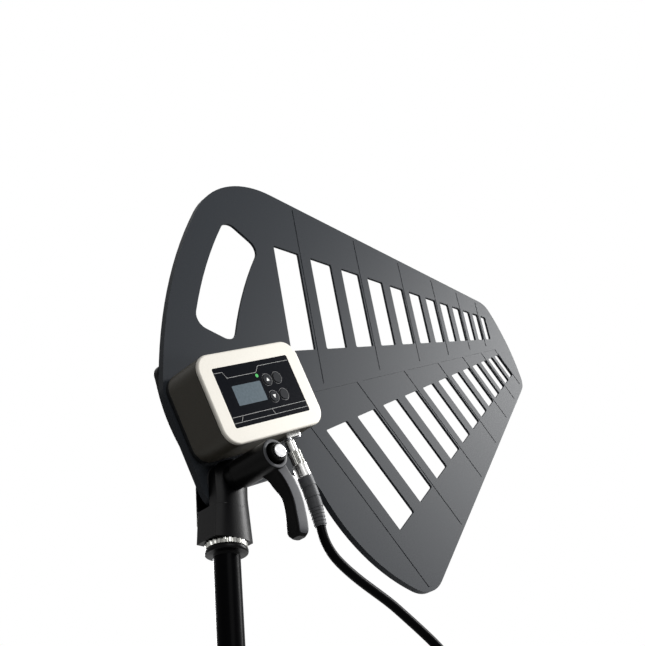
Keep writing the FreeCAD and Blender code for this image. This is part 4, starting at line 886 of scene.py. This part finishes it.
def lever_ring(rows, index):
    """Rounded section square to the arm's centre line."""
    x, z, width, rear, face = rows[index]
    before = rows[max(index - 1, 0)]
    after = rows[min(index + 1, len(rows) - 1)]
    length = math.hypot(after[0] - before[0], after[1] - before[1])
    across = (-(after[1] - before[1]) / length, (after[0] - before[0]) / length)
    side_reach = width / 2 - LEVER_ROUND
    depth_reach = (face - rear) / 2 - LEVER_ROUND
    ring = []
    for side, depth, start in ((1, 1, 0.0), (-1, 1, 90.0), (-1, -1, 180.0), (1, -1, 270.0)):
        centre = (side * side_reach, depth * depth_reach)
        for offset, level in arc_points(centre, LEVER_ROUND, start, start + 90.0, LEVER_CORNER_STEPS):
            spot_z = AXIS_HEIGHT + z + across[1] * offset
            ring.append(at(x + across[0] * offset, -(rear + face) / 2 - level, spot_z))
    return ring


def round_lever_axis(radius, turn, depth):
    return at(radius * math.cos(turn), depth, AXIS_HEIGHT + radius * math.sin(turn))


def make_lever_arm():
    """Arm whose root is cut out round the cap, with painted sheen in a lighter grey on its flat front
    face.
    """
    rows = lever_rows()
    points, faces = lofted([lever_ring(rows, index) for index in range(len(rows))])
    arm = new_mesh("lever_arm", points, faces, MATERIALS["lever"])
    face_outward(arm)
    points, faces = lathed(ROOM_PROFILE, ROOM_SIDES, round_lever_axis)
    room = new_mesh("recess_room", points, faces, MATERIALS["lever"])
    face_outward(room)
    cut_away(arm, room)
    finish_solid(arm, 0)
    arm.data.materials.clear()
    arm.data.materials.append(MATERIALS["lever"])
    arm.data.materials.append(MATERIALS["lever_painted_sheen"])
    # Arm faces turned to the front get the lighter grey of the painted sheen.
    for polygon in arm.data.polygons:
        in_sheen_face = polygon.center.y / MM < SHEEN_FACE_DEPTH
        polygon.material_index = 1 if polygon.normal.y < ARM_SHEEN_NORMAL and in_sheen_face else 0
    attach(arm, "lever")


def make_lever_hub():
    """Hub with painted sheen in a lighter grey on its front rim."""
    points, faces = lathed(HUB_PROFILE, HUB_SIDES, round_lever_axis)
    hub = new_mesh("lever_hub", points, faces, MATERIALS["lever"])
    face_outward(hub)
    finish_solid(hub, 0)
    hub.data.materials.append(MATERIALS["lever_painted_sheen"])
    # Rim faces turned to the front get the lighter grey of the painted sheen.
    for polygon in hub.data.polygons:
        in_sheen_rim = math.hypot(polygon.center.x, polygon.center.z - AXIS_HEIGHT * MM) > RECESS_RADIUS * MM
        polygon.material_index = 1 if polygon.normal.y < HUB_SHEEN_NORMAL and in_sheen_rim else 0
    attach(hub, "lever")
    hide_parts("clamp_lever")


make_lever_arm()
make_lever_hub()

# Collar and lock ring on top of the tube

COLLAR_PROFILE = [
    (4.9, 64.0), (8.0, 64.0), (8.0, 65.8), (11.9, 65.8), (12.52, 66.06), (12.78, 66.7), (12.78, 67.9),
    (12.52, 68.54), (11.9, 68.8), (4.9, 68.8)]
COLLAR_SIDES = 96
RING_LOW_Z = 69.0
RING_HIGH_Z = 72.2
RING_RADIUS = 12.5
RING_BORE = 5.0
RING_EDGE = 0.35
RING_TEETH = 24
TOOTH_DEPTH = 0.9
# Shares of a tooth's depth at even steps: flat top, slope, valley, slope
TOOTH_FORM = (0.0, 0.0, 0.0, 0.0, 0.5, 1.0, 1.0, 0.5)
RING_POINTS = RING_TEETH * len(TOOTH_FORM)


def round_stand_axis(radius, turn, height):
    return at(radius * math.cos(turn), radius * math.sin(turn), height)


def tooth_radius(index):
    return RING_RADIUS - TOOTH_DEPTH * TOOTH_FORM[index % len(TOOTH_FORM)]


def toothed_level(height, inset):
    line = []
    for index, turn in enumerate(full_turn(RING_POINTS)):
        line.append(round_stand_axis(tooth_radius(index) - inset, turn, height))
    return line


def bore_level(height):
    return [round_stand_axis(RING_BORE, turn, height) for turn in full_turn(RING_POINTS)]


def make_lock_ring():
    """Ring with edges broken above and below its teeth."""
    levels = [
        bore_level(RING_LOW_Z),
        toothed_level(RING_LOW_Z, RING_EDGE),
        toothed_level(RING_LOW_Z + RING_EDGE, 0.0),
        toothed_level(RING_HIGH_Z - RING_EDGE, 0.0),
        toothed_level(RING_HIGH_Z, RING_EDGE),
        bore_level(RING_HIGH_Z),
    ]
    points, faces = lofted(levels, joined=True)
    ring = new_mesh("lock_ring_form", points, faces, MATERIALS["lock_ring"])
    face_outward(ring)
    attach(ring, "ring")
    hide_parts("lock_ring")


def make_collar():
    points, faces = lathed(COLLAR_PROFILE, COLLAR_SIDES, round_stand_axis)
    collar = new_mesh("collar_form", points, faces, MATERIALS["bracket"])
    face_outward(collar)
    finish_solid(collar, 0)
    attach(collar, "stand")
    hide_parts("stand_collar")


make_lock_ring()
make_collar()

# Print on the control panel, in millimetres from the panel's centre in the antenna's frame

BOX_X = 27.75
BOX_Z = 42.2
PANEL_FRONT = -32.9
KEY_FRONT = -33.4
PRINT_DEPTH = 0.04
LINE_WIDTH = 0.22
TOP_LINE = [(-32.6, 15.9), (-25.7, 15.9), (-23.6, 11.8), (1.2, 11.8), (4.8, 15.7), (32.6, 15.7)]
LOW_LINES = [
    [(-32.6, -12.5), (32.6, -12.5)],
    [(-32.6, -16.2), (32.6, -16.2)],
    [(-23.4, -12.5), (-26.3, -16.2)],
    [(1.8, -12.5), (3.2, -16.2)],
]
KEY_PLACES = {
    "upper_left": (8.0, 5.9),
    "upper_right": (16.8, 5.9),
    "lower_left": (7.9, -5.3),
    "lower_right": (16.8, -5.3),
}
KEY_RING_RADIUS = 3.95
KEY_RING_WIDTH = 0.24
KEY_RING_STEPS = 48
ARROW_SIZE = 1.25
ARROW_FOOT = 0.8
MITRE_LIMIT = 0.5
PRINT_LIGHTER = 1.1


def strokes_to_mesh(strokes, width):
    """Thin bands on the panel along lines that are open or closed."""
    points = []
    faces = []
    for line, closed in strokes:
        count = len(line)
        first = len(points)
        for index in range(count):
            here = Vector(line[index])
            before = Vector(line[index - 1]) if closed or index > 0 else None
            after = Vector(line[(index + 1) % count]) if closed or index < count - 1 else None
            into = (here - before).normalized() if before is not None else (after - here).normalized()
            out = (after - here).normalized() if after is not None else into
            along = (into + out).normalized()
            across = Vector((-along.y, along.x))
            half = width / 2 / max(MITRE_LIMIT, along.dot(into))
            for side in (-1, 1):
                spot = here + across * half * side
                for depth in (PANEL_FRONT - PRINT_DEPTH, PANEL_FRONT + PRINT_DEPTH):
                    points.append(on_antenna(BOX_X + spot.x, depth, BOX_Z + spot.y))
        spans = count if closed else count - 1
        for index in range(spans):
            a = first + index * 4
            b = first + (index + 1) % count * 4
            faces.append((a, b, b + 2, a + 2))
            faces.append((a + 1, a + 3, b + 3, b + 1))
            faces.append((a, a + 1, b + 1, b))
            faces.append((a + 2, b + 2, b + 3, a + 3))
        if not closed:
            faces.append((first, first + 2, first + 3, first + 1))
            last = first + (count - 1) * 4
            faces.append((last, last + 1, last + 3, last + 2))
    return points, faces


def make_panel_lines(material):
    strokes = [(TOP_LINE, False)]
    strokes.extend((line, False) for line in LOW_LINES)
    points, faces = strokes_to_mesh(strokes, LINE_WIDTH)
    lines = new_mesh("panel_lines", points, faces, material)
    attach(lines, "antenna")


def ring_line(centre, radius):
    line = []
    for turn in full_turn(KEY_RING_STEPS):
        line.append((centre[0] + radius * math.cos(turn), centre[1] + radius * math.sin(turn)))
    return line


def make_key_rings(material):
    strokes = [(ring_line(centre, KEY_RING_RADIUS), True) for centre in KEY_PLACES.values()]
    points, faces = strokes_to_mesh(strokes, KEY_RING_WIDTH)
    rings = new_mesh("key_rings", points, faces, material)
    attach(rings, "antenna")


def make_arrow(key, way, material):
    """Plain triangle printed on a key, pointing up or down."""
    x, z = KEY_PLACES[key]
    foot_z = z - way * ARROW_SIZE * ARROW_FOOT
    corners = [(x - ARROW_SIZE, foot_z), (x + ARROW_SIZE, foot_z), (x, z + way * ARROW_SIZE)]
    points = []
    for depth in (KEY_FRONT - PRINT_DEPTH, KEY_FRONT + PRINT_DEPTH):
        points.extend(on_antenna(BOX_X + a, depth, BOX_Z + b) for a, b in corners)
    faces = [(0, 1, 2), (5, 4, 3), (0, 3, 4, 1), (1, 4, 5, 2), (2, 5, 3, 0)]
    arrow = new_mesh("arrow_" + key, points, faces, material)
    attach(arrow, "key_" + key)


def print_material(name, colour):
    material, shader = new_material(name, colour, roughness=0.5, specular=0.2)
    lighter = (*(min(1.0, channel * PRINT_LIGHTER) for channel in colour[:3]), 1.0)
    tint_by_noise(material, shader, colour, lighter, scale=300.0)
    return material


make_panel_lines(print_material("line_print", srgb(150, 150, 148)))
make_key_rings(print_material("ring_print", srgb(84, 84, 84)))
ARROW_PRINT = print_material("arrow_print", srgb(225, 225, 222))
make_arrow("upper_left", 1, ARROW_PRINT)
make_arrow("lower_left", -1, ARROW_PRINT)
